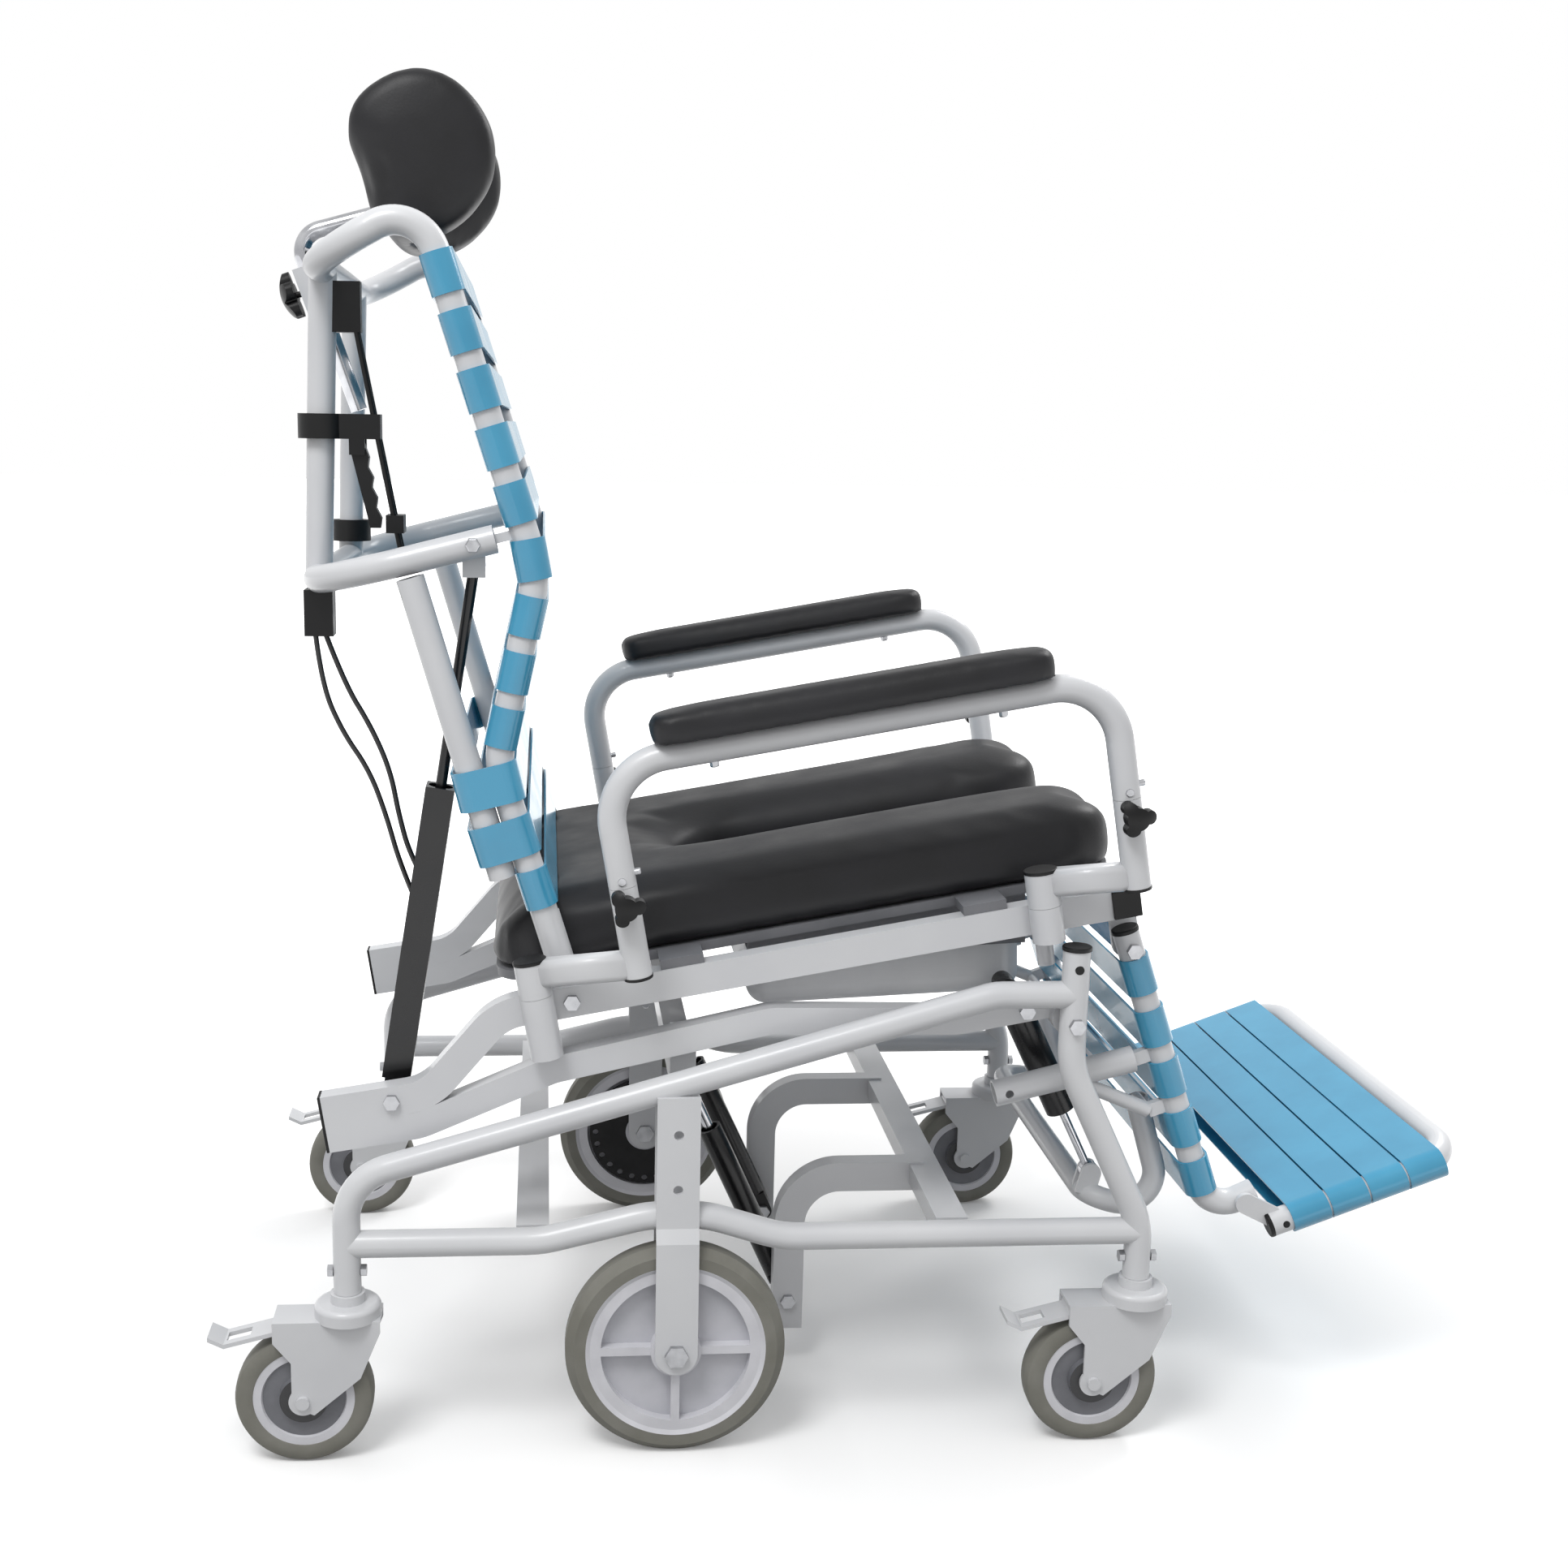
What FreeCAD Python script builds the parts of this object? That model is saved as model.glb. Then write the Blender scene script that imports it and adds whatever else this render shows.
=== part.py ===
import FreeCAD, Part
import math
import os
import Sketcher
from FreeCAD import Placement, Rotation, Vector

# Tilting shower commode chair: a wheeled base, a seat frame that tilts on it, a reclining back,
# swing-away armrests, a lifting legrest and a footrest. Millimetres, X forward, Y left, Z up, floor at Z = 0.
doc = FreeCAD.newDocument("tilting_shower_commode_chair")
sheet = doc.addObject("Spreadsheet::Sheet", "Sizes")

# Driving dimensions; a text value is a formula on the sizes above it
SIZES = {
    # shared stock
    "tube_od": 25, "tube_wall": 2, "gap": 0.3, "running_fit": 0.05, "bolt_dia": 8, "bolt_head_dia": 13,
    "bolt_head_height": 5, "cap_height": 4, "cap_lip": 1, "weld_sink": 1.5, "band_height": 36,
    "band_thick": 2,
    # base
    "base_half": 281, "rear_stem_x": -470, "front_stem_x": 260, "stem_foot_z": 161, "upper_rear_z": 267,
    "upper_crest_x": 114, "upper_front_z": 435, "upper_bend": 50, "upright_x": 187,
    "upright_top_z": 481, "upright_knee_z": 366, "upright_foot_z": 214, "upright_bend": 90,
    "lower_z": 206, "hump_rise": 23, "hump_start_x": -295, "hump_rear_x": -198, "hump_front_x": -146,
    "hump_end_x": -75, "hump_bend": 110, "plate_width": 39, "plate_thick": 5, "plate_top_z": 346,
    "plate_joggle_z": 222, "plate_hole_dia": 9, "plate_hole_high_z": 311, "plate_hole_low_z": 259,
    "cross_width": 30, "cross_height": 20, "cross_front_x": 86, "cross_rear_x": -303, "hook_half": 125,
    "hook_width": 20, "hook_height": 30, "hook_x": -48, "hook_z": 203, "hook_foot_z": 42,
    "hook_bend": 50, "stem_bolt_dia": 6, "stem_bolt_head": 10, "stem_bolt_rise": 20,
    # casters
    "caster_dia": 125, "caster_width": 28, "caster_trail": 40, "caster_bore": 12, "caster_hub_dia": 46,
    "caster_hub_width": 32, "fork_thick": 3, "fork_cap_dia": 60, "fork_cap_z": 138,
    "fork_cap_height": 14, "pedal_reach": 64, "pedal_thick": 4, "pedal_slope": 14, "pedal_toe": 14,
    "fork_front_lip": 10, "fork_shoulder": 52, "fork_shoulder_rise": 22, "fork_toe": 10,
    "fork_heel_rise": 38, "fork_rear_lip": 18, "axle_boss_dia": 26, "axle_end": 4,
    "fork_overhang": 26, "spindle_height": 16, "tyre_shoulder": 5, "tyre_depth": 13,
    # centre wheels
    "wheel_x": -172, "wheel_dia": 203, "wheel_width": 30, "rim_dia": 158, "rim_inner_dia": 138,
    "hub_dia": 46, "hub_width": 34, "axle_dia": 12, "spoke_width": 8, "web_thick": 6, "disc_dia": 132,
    "disc_thick": 2.5, "disc_hole_dia": 7, "wheel_bead": 4, "wheel_crown": 8, "wheel_sink": 1,
    # seat frame, along the seat slope from the rear bend of the rails
    "seat_inset": 34, "seat_half": "=base_half - seat_inset",
    "rail_width": 20, "rail_height": 28, "lower_rail_height": 25, "rail_wall": 2,
    "rail_bend": 55, "rail_rear_x": -492, "rail_rear_z": 322.5, "rail_foot_x": -397, "rail_foot_z": 337,
    "seat_x": -332.5, "seat_z": 412.7, "seat_slope": 10.1, "rail_length": 566, "tilt_z": 408.6,
    "tilt_boss_dia": 32, "lower_knee_x": -405, "lower_rise_x": -285, "lower_rise_z": 360,
    "lower_crest_x": -85, "lower_crest_z": 405, "lower_dip_x": 85, "lower_dip_z": 402.5,
    "front_cross_size": 26, "lug_drop": 12, "lug_thick": 4, "hanger_height": 48, "latch_length": 34,
    "recline_foot_x": -430, "rear_cross_x": -165, "rear_cross_z": 350, "rear_cross_size": 24,
    "post_offset": 23, "post_half": "=seat_half + post_offset",
    "post_dia": 30, "post_pin_dia": 20, "rear_post_s": 36, "front_post_s": 501,
    "post_split": 15.5, "post_top": 47, "rear_post_foot": -42, "front_post_foot": -18, "board_thick": 9,
    "cushion_inset": 28, "cushion_half": "=seat_half - cushion_inset",
    "cushion_rear_s": -4, "cushion_front_s": 592, "cushion_height": 60,
    "cushion_corner": 55, "cushion_edge": 22, "cushion_sweep": 86, "slot_half": 58, "slot_rear_s": 190,
    "lobe_corner": 45, "pan_rear_x": -95, "pan_front_x": 175, "pan_floor_z": 387,
    "pan_depth": 62, "pan_wall": 3, "pan_slope": 3, "pan_lip": 12, "runner_thick": 3, "runner_rise": 40,
    "pan_corner": 20, "board_inset": 3, "tab_rear_s": 150, "tab_front_s": 430, "tab_length": 40,
    # armrests, in the seat frame's slope
    "arm_offset": 29, "arm_half": "=post_half + arm_offset",
    "arm_rear_s": 129, "arm_front_s": 579, "stub_n": 34, "arm_split_n": 108,
    "arm_top_n": 215, "arm_bend": 55, "arm_insert": 60, "insert_od": 20.4, "pad_rear_s": 174,
    "pad_length": 355, "pad_width": 52, "pad_thick": 27, "pad_edge": 9, "leg_drop": 8, "stub_dia": 20,
    "knob_drop": 14, "knob_stem": 6, "knob_collar": 5, "knob_dia": 34, "knob_height": 16,
    # backrest, from its hinge on the seat rails
    "back_inset": 9, "back_half": "=seat_half - back_inset",
    "hinge_s": 66, "apex_x": -397, "apex_z": 1117, "loop_x": -488, "loop_z": 1066,
    "back_foot_x": -279, "back_foot_z": 460, "back_rear_x": -334.7, "back_rear_z": 640.1,
    "back_front_x": -298.7, "back_front_z": 807.5, "apex_tail": 46, "hinge_inset": 1.5,
    "hinge_plate": 5, "hinge_lap": 45, "brace_top_x": -408.7, "brace_top_z": 802.3,
    "brace_foot_x": -330, "brace_foot_z": 535.8, "apex_bend": 35, "back_bend": 90, "loop_bend": 55,
    "arm_tip_x": -335, "arm_tip_z": 836.5, "low_x": -497, "low_z": 795, "low_bend": 85,
    "tongue_length": 16, "tongue_thick": 8, "tongue_height": 8, "brace_gap": 3.6, "back_band_first": 70,
    "back_band_pitch": 50.1, "back_band_count": 12, "push_half": 145,
    # release lever, clips and cords on the push frame
    "lever_x": -460, "lever_z": 912, "lever_width": 14, "lever_length": 72, "lever_pin": 6,
    "clamp_z": 930, "clamp_height": 22, "clamp_front_x": -439, "far_clamp_z": 822, "clip_x": -463,
    "clip_z": 1034, "clip_height": 44, "clip_width": 16, "clip_low_x": -427, "clip_low_z": 844,
    "cable_dia": 5, "cable_end_x": -419, "cable_end_z": 803, "cable_bend": 60, "lever_lean": 3.5,
    "grip_drop": 42, "grip_width": 26,
    # headrest
    "post_bar_dia": 16, "socket_size": 26, "socket_length": 44, "socket_back": 24, "socket_z": 1058,
    "bar_lean": 19.6, "headrest_half": 125, "headrest_height": 147, "headrest_depth": 132,
    "headrest_thick": 48, "headrest_edge": 14, "headrest_hollow": 88,
    "headrest_x": -402, "headrest_z": 1172, "bar_rise": 52, "bar_tail": 120,
    "bar_end_x": -440, "bar_end_z": 1132, "bar_bend": 22, "star_dia": 46, "star_height": 15,
    # springs
    "recline_inset": 29, "recline_half": "=back_half - recline_inset",
    "eye_dia": 20, "recline_width": 30, "recline_depth": 26, "recline_length": 285,
    "recline_tube": 22, "recline_rod": 10, "recline_rod_length": 330, "recline_head_x": -354,
    "recline_head_z": 812, "tilt_tube": 24, "tilt_bore": 18, "tilt_length": 190, "tilt_rod": 10,
    "tilt_rod_length": 170, "lift_inset": 75, "lift_half": "=seat_half - lift_inset",
    "pan_clearance": 32, "pan_half": "=lift_half - pan_clearance",
    "lift_tube": 30, "lift_bore": 26, "lift_length": 140,
    "lift_rod": 8, "lift_rod_length": 160, "lift_x": 150, "lift_z": 412, "lift_head_x": 243,
    "lift_head_z": 221,
    # legrest and footrest
    "leg_inset": 22, "leg_half": "=seat_half - leg_inset", "strut_inset": 37,
    "strut_half": "=leg_half - strut_inset", "foot_offset": 15, "foot_half": "=leg_half + foot_offset",
    "leg_pivot_s": 586, "leg_pivot_n": -53, "leg_lean": 19.1, "leg_top": 17,
    "leg_length": 280, "leg_bend": 28, "leg_band_first": 26.5, "leg_band_pitch": 52.8, "leg_band_count": 5,
    "stub_rise": 24.5, "foot_pivot_out": 35, "foot_stub": 49, "leg_arm_at": 106, "leg_arm_length": 136,
    "leg_arm_drop": 14, "leg_brace_at": 160, "leg_brace_dia": 14, "lug_reach": 27, "leg_lug_height": 13,
    "strut_od": 22, "strut_bend": 30, "strut_pin": 10, "strut_toe_x": 316,
    "strut_toe_z": 185, "strut_heel_x": 238, "strut_heel_z": 200, "foot_rise": 20.4,
    "foot_drop": 29, "foot_rear": 17, "foot_length": 190, "foot_bend": 45, "foot_band_first": 35,
    "foot_band_pitch": 39.5, "foot_band_count": 4, "foot_band_height": 37.5,
}
for row, (alias, value) in enumerate(SIZES.items(), start=1):
    sheet.set("A%d" % row, alias.replace("_", " "))
    sheet.set("B%d" % row, str(value))
    sheet.setAlias("B%d" % row, alias)
doc.recompute()


class Read:
    """Sizes as they stand in the sheet."""

    def __getattr__(self, alias):
        return float(sheet.get(alias))


S = Read()
LEFT, RIGHT = 1, -1
SIDES = {"right": RIGHT, "left": LEFT}
ACROSS = Vector(0, 1, 0)
UP = Vector(0, 0, 1)
FORWARD = Vector(1, 0, 0)


# Shared making of tubes, bars and bands
def rounded_path(points, bend):
    """Straight runs joined by tangent arcs, of one bend radius or a list of them."""
    edges = []
    start = points[0]
    radii = bend if isinstance(bend, list) else [bend] * len(points)
    for before, corner, after, bend in zip(points, points[1:], points[2:], radii):
        back = (before - corner).normalize()
        ahead = (after - corner).normalize()
        half_turn = (math.pi - back.getAngle(ahead)) / 2
        reach = bend * math.tan(half_turn)
        bend_start = corner + back * reach
        bend_end = corner + ahead * reach
        inward = (back + ahead).normalize()
        middle = corner + inward * (bend / math.cos(half_turn) - bend)
        edges.append(Part.LineSegment(start, bend_start).toShape())
        edges.append(Part.Arc(bend_start, middle, bend_end).toShape())
        start = bend_end
    edges.append(Part.LineSegment(start, points[-1]).toShape())
    return Part.Wire(edges)


def rod(points, diameter, bend=0):
    """A round bar bent along points."""
    ring = Part.Wire(Part.Circle(points[0], points[1] - points[0], diameter / 2).toShape())
    return rounded_path(points, bend).makePipeShell([ring], True, False)


def bar(points, width, height, bend=0):
    """A rectangular bar bent in an upright plane, with its width across the chair."""
    along = (points[1] - points[0]).normalize()
    rise = along.cross(ACROSS)
    corners = []
    for over, high in ((-1, -1), (1, -1), (1, 1), (-1, 1)):
        corners.append(points[0] + ACROSS * (over * width / 2) + rise * (high * height / 2))
    outline = Part.makePolygon(corners + corners[:1])
    return rounded_path(points, bend).makePipeShell([outline], True, False)


def weld(members):
    """A welded frame: hollow members, each coped to the outer skin of those before it.

    A member is its outer shape and its bore, or None for a solid one.
    """
    joined = []
    for place, (outer, bore) in enumerate(members):
        shape = outer.cut(bore) if bore else outer
        before = [skin for skin, _ in members[:place]]
        joined += (shape.cut(before) if before else shape).Solids
    return Part.makeCompound(joined)


def tube(points, diameter, bend=0):
    """The outer shape and the bore of a bent tube."""
    return rod(points, diameter, bend), rod(points, diameter - 2 * S.tube_wall, bend)


def box_tube(points, width, height, bend=0):
    """The outer shape and the bore of a bent rectangular tube."""
    wall = 2 * S.rail_wall
    return bar(points, width, height, bend), bar(points, width - wall, height - wall, bend)


def pin(centre, diameter, length, direction=ACROSS):
    """A round pin centred on a point."""
    direction = Vector(direction).normalize()
    return Part.makeCylinder(diameter / 2, length, centre - direction * (length / 2), direction)


def hex_head(centre, across_flats, height, direction):
    """A hexagonal bolt head or nut standing on a point."""
    direction = Vector(direction).normalize()
    corner = across_flats / math.sqrt(3)
    turn = Rotation(UP, direction)
    ring = []
    for step in range(7):
        angle = math.radians(60 * step)
        ring.append(centre + turn.multVec(Vector(corner * math.cos(angle), corner * math.sin(angle), 0)))
    return Part.Face(Part.makePolygon(ring)).extrude(direction * height)


def bolt(start, end, shank, head):
    """A bolt between two outer faces, with its head at the start and its nut at the end."""
    axis = end - start
    body = Part.makeCylinder(shank / 2, axis.Length, start, axis)
    body = body.fuse(hex_head(start, head, S.bolt_head_height, axis * -1))
    return body.fuse(hex_head(end, head, S.bolt_head_height, axis)).removeSplitter()


def slot_face(half_span, half_depth, corner):
    """A rounded rectangle about the origin, long across the chair."""
    side, front = half_span - corner, half_depth - corner
    edges = []
    diagonal = corner / math.sqrt(2)
    for over, ahead in ((1, 1), (-1, 1), (-1, -1), (1, -1)):
        hub = Vector(ahead * front, over * side, 0)
        tips = [hub + Vector(ahead * corner, 0, 0), hub + Vector(0, over * corner, 0)]
        edges.append(Part.Arc(tips[0], hub + Vector(ahead * diagonal, over * diagonal, 0), tips[1]).toShape())
    if front > 0:
        edges.append(Part.makeLine(Vector(-front, half_span, 0), Vector(front, half_span, 0)))
        edges.append(Part.makeLine(Vector(-front, -half_span, 0), Vector(front, -half_span, 0)))
    edges.append(Part.makeLine(Vector(half_depth, -side, 0), Vector(half_depth, side, 0)))
    edges.append(Part.makeLine(Vector(-half_depth, -side, 0), Vector(-half_depth, side, 0)))
    loop = Part.__sortEdges__([edge for edge in edges if edge is not None])
    return Part.Face(Part.Wire(loop))


def band(centre, along, half, height, stretch=0):
    """A flat band looped round both side tubes; stretch makes room for a brace behind them."""
    inner = S.tube_od / 2 + S.gap
    outer = inner + S.band_thick
    loop = slot_face(half + outer, outer + stretch / 2, outer)
    loop = loop.cut(slot_face(half + inner, inner + stretch / 2, inner))
    belt = loop.extrude(UP * height)
    belt.translate(Vector(0, 0, -height / 2))
    belt.Placement = Placement(centre, Rotation(UP, along)).multiply(belt.Placement)
    return belt


def mirrored(shape):
    """The same piece for the other side of the chair."""
    return shape.mirror(Vector(0, 0, 0), ACROSS)


def piece(label, shape, placement=Placement()):
    """One named piece of the chair."""
    item = doc.addObject("Part::Feature", label)
    item.Label = label
    item.Shape = shape
    item.Placement = placement.multiply(item.Placement)
    return item


def pair(label, shape, placement=Placement()):
    """A right-hand piece and its left-hand mirror image."""
    piece(label + "_right", shape, placement)
    piece(label + "_left", mirrored(shape), placement)


def at(x, y, z):
    return Vector(x, y, z)


# Base side frames: bent tubes and flat wheel plates, welded
def base_side():
    y = -S.base_half
    upper = [at(S.rear_stem_x, y, S.stem_foot_z), at(S.rear_stem_x, y, S.upper_rear_z),
             at(S.upper_crest_x, y, S.upper_front_z), at(S.upright_x, y, S.upper_front_z)]
    upright = [at(S.upright_x, y, S.upright_top_z - S.cap_height), at(S.upright_x, y, S.upright_knee_z),
               at(S.front_stem_x, y, S.upright_foot_z), at(S.front_stem_x, y, S.stem_foot_z)]
    crest_z = S.lower_z + S.hump_rise
    lower = [at(S.rear_stem_x, y, S.lower_z), at(S.hump_start_x, y, S.lower_z), at(S.hump_rear_x, y, crest_z),
             at(S.hump_front_x, y, crest_z), at(S.hump_end_x, y, S.lower_z), at(S.front_stem_x, y, S.lower_z)]
    tubes = [tube(upright, S.tube_od, S.upright_bend), tube(upper, S.tube_od, S.upper_bend),
             tube(lower, S.tube_od, S.hump_bend)]
    frame = weld(tubes + [(wheel_plate(RIGHT), None), (wheel_plate(LEFT), None)])
    frame = frame.cut(tilt_pin(S.bolt_dia + 2 * S.running_fit)).cut(axle_hole())
    for stem in stem_bolts():
        frame = frame.cut(pin(stem, S.stem_bolt_dia + 2 * S.running_fit, 2 * S.tube_od, FORWARD))
    return frame


def wheel_gap():
    """Half the clear width between the two plates of a centre wheel."""
    return S.hub_width / 2 + S.gap


def wheel_plate(side):
    """A flat bar from the upper tube to the axle, cranked outward beside the wheel."""
    inner, outer = S.tube_od / 2 - S.weld_sink, wheel_gap()
    turn = abs(outer - inner)
    y = -S.base_half
    profile = [(inner, S.plate_top_z), (inner, S.plate_joggle_z), (outer, S.plate_joggle_z - 2 * turn),
               (outer, S.wheel_dia / 2 - S.plate_width / 2)]
    back = [(over + S.plate_thick, z) for over, z in reversed(profile)]
    points = [at(S.wheel_x, y + side * over, z) for over, z in profile + back]
    slab = Part.Face(Part.makePolygon(points + points[:1])).extrude(at(S.plate_width, 0, 0))
    slab.translate(at(-S.plate_width / 2, 0, 0))
    half = S.plate_width / 2
    axle_z = S.wheel_dia / 2
    round_end = pin(at(S.wheel_x, y, axle_z), S.plate_width, 4 * S.tube_od)
    corner = at(S.wheel_x - half, y - 2 * S.tube_od, axle_z)
    keep = Part.makeBox(S.plate_width, 4 * S.tube_od, S.plate_top_z, corner)
    slab = slab.common(keep.fuse(round_end))
    for z in (S.plate_hole_high_z, S.plate_hole_low_z):
        slab = slab.cut(pin(at(S.wheel_x, y, z), S.plate_hole_dia, 4 * S.tube_od))
    return slab


def tilt_pin(diameter):
    return pin(at(S.upright_x, -S.base_half, S.tilt_z), diameter, 2 * S.tube_od)


def axle_hole():
    return pin(at(S.wheel_x, -S.base_half, S.wheel_dia / 2), S.axle_dia + 2 * S.running_fit, 4 * S.tube_od)


def stem_bolts():
    """Middles of the cross bolts that clamp the caster stems in the tubes."""
    bolt_z = S.stem_foot_z + S.stem_bolt_rise
    return [at(stem_x, -S.base_half, bolt_z) for stem_x in (S.rear_stem_x, S.front_stem_x)]


pair("base_side", base_side())


# Cross bars of the base, with the two hooked rails that carry the tilt springs
def span(x, z, width, height, half):
    """A straight rectangular tube across the chair: its outer shape and its bore."""
    wall = 2 * S.rail_wall
    shapes = []
    for wide, high in ((width, height), (width - wall, height - wall)):
        shapes.append(Part.makeBox(wide, 2 * half, high, at(x - wide / 2, -half, z - high / 2)))
    return tuple(shapes)


def hook_rail(side):
    y = side * S.hook_half
    points = [at(S.cross_front_x, y, S.hook_z), at(S.hook_x, y, S.hook_z), at(S.hook_x, y, S.hook_foot_z)]
    return box_tube(points, S.hook_width, S.hook_height, S.hook_bend)


def spring_foot(side):
    """Lower pivot of a tilt spring, near the foot of its hooked rail."""
    return at(S.hook_x, side * S.hook_half, S.hook_foot_z + S.hook_height)


def tilt_spring_half():
    return S.hook_half - S.hook_width / 2 - S.tilt_tube / 2 - 5 * S.gap


cross_half = S.base_half - S.tube_od / 2 - S.gap
front_bar = span(S.cross_front_x, S.lower_z, S.cross_width, S.cross_height, cross_half)
cross_front = weld([front_bar, hook_rail(RIGHT), hook_rail(LEFT)])
for side in SIDES.values():
    cross_front = cross_front.cut(pin(spring_foot(side), S.bolt_dia + 2 * S.running_fit, 3 * S.hook_width))
piece("base_cross_front", cross_front)
piece("base_cross_rear", weld([span(S.cross_rear_x, S.lower_z, S.cross_width, S.cross_height, cross_half)]))


# Fasteners and plugs of the base
def tilt_bolt():
    """Pivot of the seat frame: through the upright and the boss of the lower rail."""
    outside = at(S.upright_x, -S.base_half - S.tube_od / 2, S.tilt_z)
    inside = at(S.upright_x, -S.seat_half + S.rail_width / 2 + S.gap, S.tilt_z)
    return bolt(outside, inside, S.bolt_dia, S.bolt_head_dia)


def axle_bolt():
    """Fixed axle of a centre wheel, between the outer faces of its plates."""
    half = wheel_gap() + S.plate_thick
    axle = at(S.wheel_x, -S.base_half, S.wheel_dia / 2)
    return bolt(axle - ACROSS * half, axle + ACROSS * half, S.axle_dia, S.bolt_head_dia + S.axle_dia / 2)


def spring_bolt():
    """Lower pivot of a tilt spring: through the foot of the hooked rail and the spring's eye."""
    foot = spring_foot(RIGHT)
    inside = -tilt_spring_half() + S.tilt_tube / 2 + S.gap
    return bolt(at(foot.x, -S.hook_half - S.hook_width / 2, foot.z), at(foot.x, inside, foot.z),
                S.bolt_dia, S.bolt_head_dia)


right_bolts = [tilt_bolt(), axle_bolt(), spring_bolt()]
for stem in stem_bolts():
    reach = FORWARD * (S.tube_od / 2)
    right_bolts.append(bolt(stem - reach, stem + reach, S.stem_bolt_dia, S.stem_bolt_head))
piece("base_bolts", Part.makeCompound(right_bolts + [mirrored(item) for item in right_bolts]))


def tube_plug(mouth, direction):
    """A domed plastic plug closing a tube end; direction points out of the tube."""
    cap = Part.makeCylinder(S.tube_od / 2 + S.cap_lip, S.cap_height, mouth, direction)
    cap = cap.makeFillet(S.cap_height / 3, [cap.Edges[0]])
    stem = S.tube_od / 2 - S.tube_wall - S.gap
    return cap.fuse(Part.makeCylinder(stem, 3 * S.cap_height, mouth, direction * -1))


upright_plug = tube_plug(at(S.upright_x, -S.base_half, S.upright_top_z - S.cap_height), UP)
piece("base_tube_caps", Part.makeCompound([upright_plug, mirrored(upright_plug)]))


# Casters, each about its own stem with the wheel trailing behind it
def fork():
    axle_x, axle_z = -S.caster_trail, S.caster_dia / 2
    cap_r, cap_z = S.fork_cap_dia / 2, S.fork_cap_z
    outline = [(cap_r, cap_z), (cap_r, cap_z - S.fork_front_lip),
               (axle_x + S.fork_shoulder, axle_z + S.fork_shoulder_rise),
               (axle_x + S.fork_toe, axle_z - S.axle_boss_dia / 2),
               (axle_x - S.fork_toe, axle_z - S.fork_toe / 2),
               (axle_x - S.fork_toe, axle_z + S.fork_heel_rise), (fork_rear(), cap_z - S.fork_rear_lip),
               (fork_rear(), cap_z)]
    inside = S.caster_hub_width / 2 + S.gap
    shape = Part.makeCylinder(cap_r, S.fork_cap_height, at(0, 0, cap_z))
    shape = shape.makeFillet(S.fork_cap_height / 3, [shape.Edges[0]])
    neck_top = S.stem_foot_z - S.gap
    shape = shape.fuse(Part.makeCylinder(S.tube_od / 2 + S.fork_thick, neck_top - cap_z, at(0, 0, cap_z)))
    spindle = S.tube_od / 2 - S.tube_wall - S.running_fit
    spindle_foot = at(0, 0, neck_top - S.spindle_height / 2)
    shape = shape.fuse(Part.makeCylinder(spindle, S.spindle_height, spindle_foot))
    deck = Part.makeBox(cap_r - fork_rear(), 2 * (inside + S.fork_thick), S.fork_thick,
                        at(fork_rear(), -inside - S.fork_thick, cap_z - S.fork_thick / 2))
    shape = shape.fuse(deck)
    for side in SIDES.values():
        start = side * inside
        points = [at(x, start, z) for x, z in outline]
        cheek = Part.Face(Part.makePolygon(points + points[:1])).extrude(ACROSS * (side * S.fork_thick))
        boss = Part.makeCylinder(S.axle_boss_dia / 2, S.fork_thick, at(axle_x, start, axle_z), ACROSS * side)
        shape = shape.fuse(cheek.fuse(boss))
    axle_half = inside + S.fork_thick + S.axle_end
    axle = pin(at(axle_x, 0, axle_z), S.caster_bore - 2 * S.running_fit, 2 * axle_half)
    shape = shape.fuse(axle)
    pivot = pin(pedal_pivot(), S.stem_bolt_dia, 2 * (inside + S.fork_thick))
    return shape.fuse(pivot).removeSplitter()


def fork_rear():
    return -S.caster_trail - S.fork_overhang


def pedal_pivot():
    """Hinge of the lock pedal, between the cheeks at the rear of the fork."""
    return at(fork_rear() + S.stem_bolt_dia, 0, S.fork_cap_z - S.stem_bolt_dia - S.fork_thick)


def pedal():
    """Lock pedal: a slotted plate that slopes down behind the fork to an upturned toe."""
    pivot = pedal_pivot()
    width = S.caster_hub_width - 2 * S.gap
    half = S.pedal_thick / 2
    reach = S.pedal_reach
    fall = math.tan(math.radians(S.pedal_slope)) * (reach - S.pedal_toe)
    spine = [(0, 0), (S.pedal_toe - reach, -fall), (-reach, S.pedal_toe / 2 - fall)]
    top = [(x, z + half) for x, z in spine]
    under = [(x, z - half) for x, z in reversed(spine)]
    points = [pivot + at(x, -width / 2, z) for x, z in top + under]
    plate = Part.Face(Part.makePolygon(points + points[:1])).extrude(ACROSS * width)
    plate = plate.fuse(pin(pivot, 2 * S.stem_bolt_dia - half, width))
    slot = Part.makeBox(reach / 3, width / 2, 2 * reach, pivot + at(-0.75 * reach, -width / 4, -reach))
    return plate.cut(slot).cut(pin(pivot, S.stem_bolt_dia + 2 * S.running_fit, 2 * width))


def evaluate(formula):
    return float(sheet.evalExpression(formula))


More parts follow.
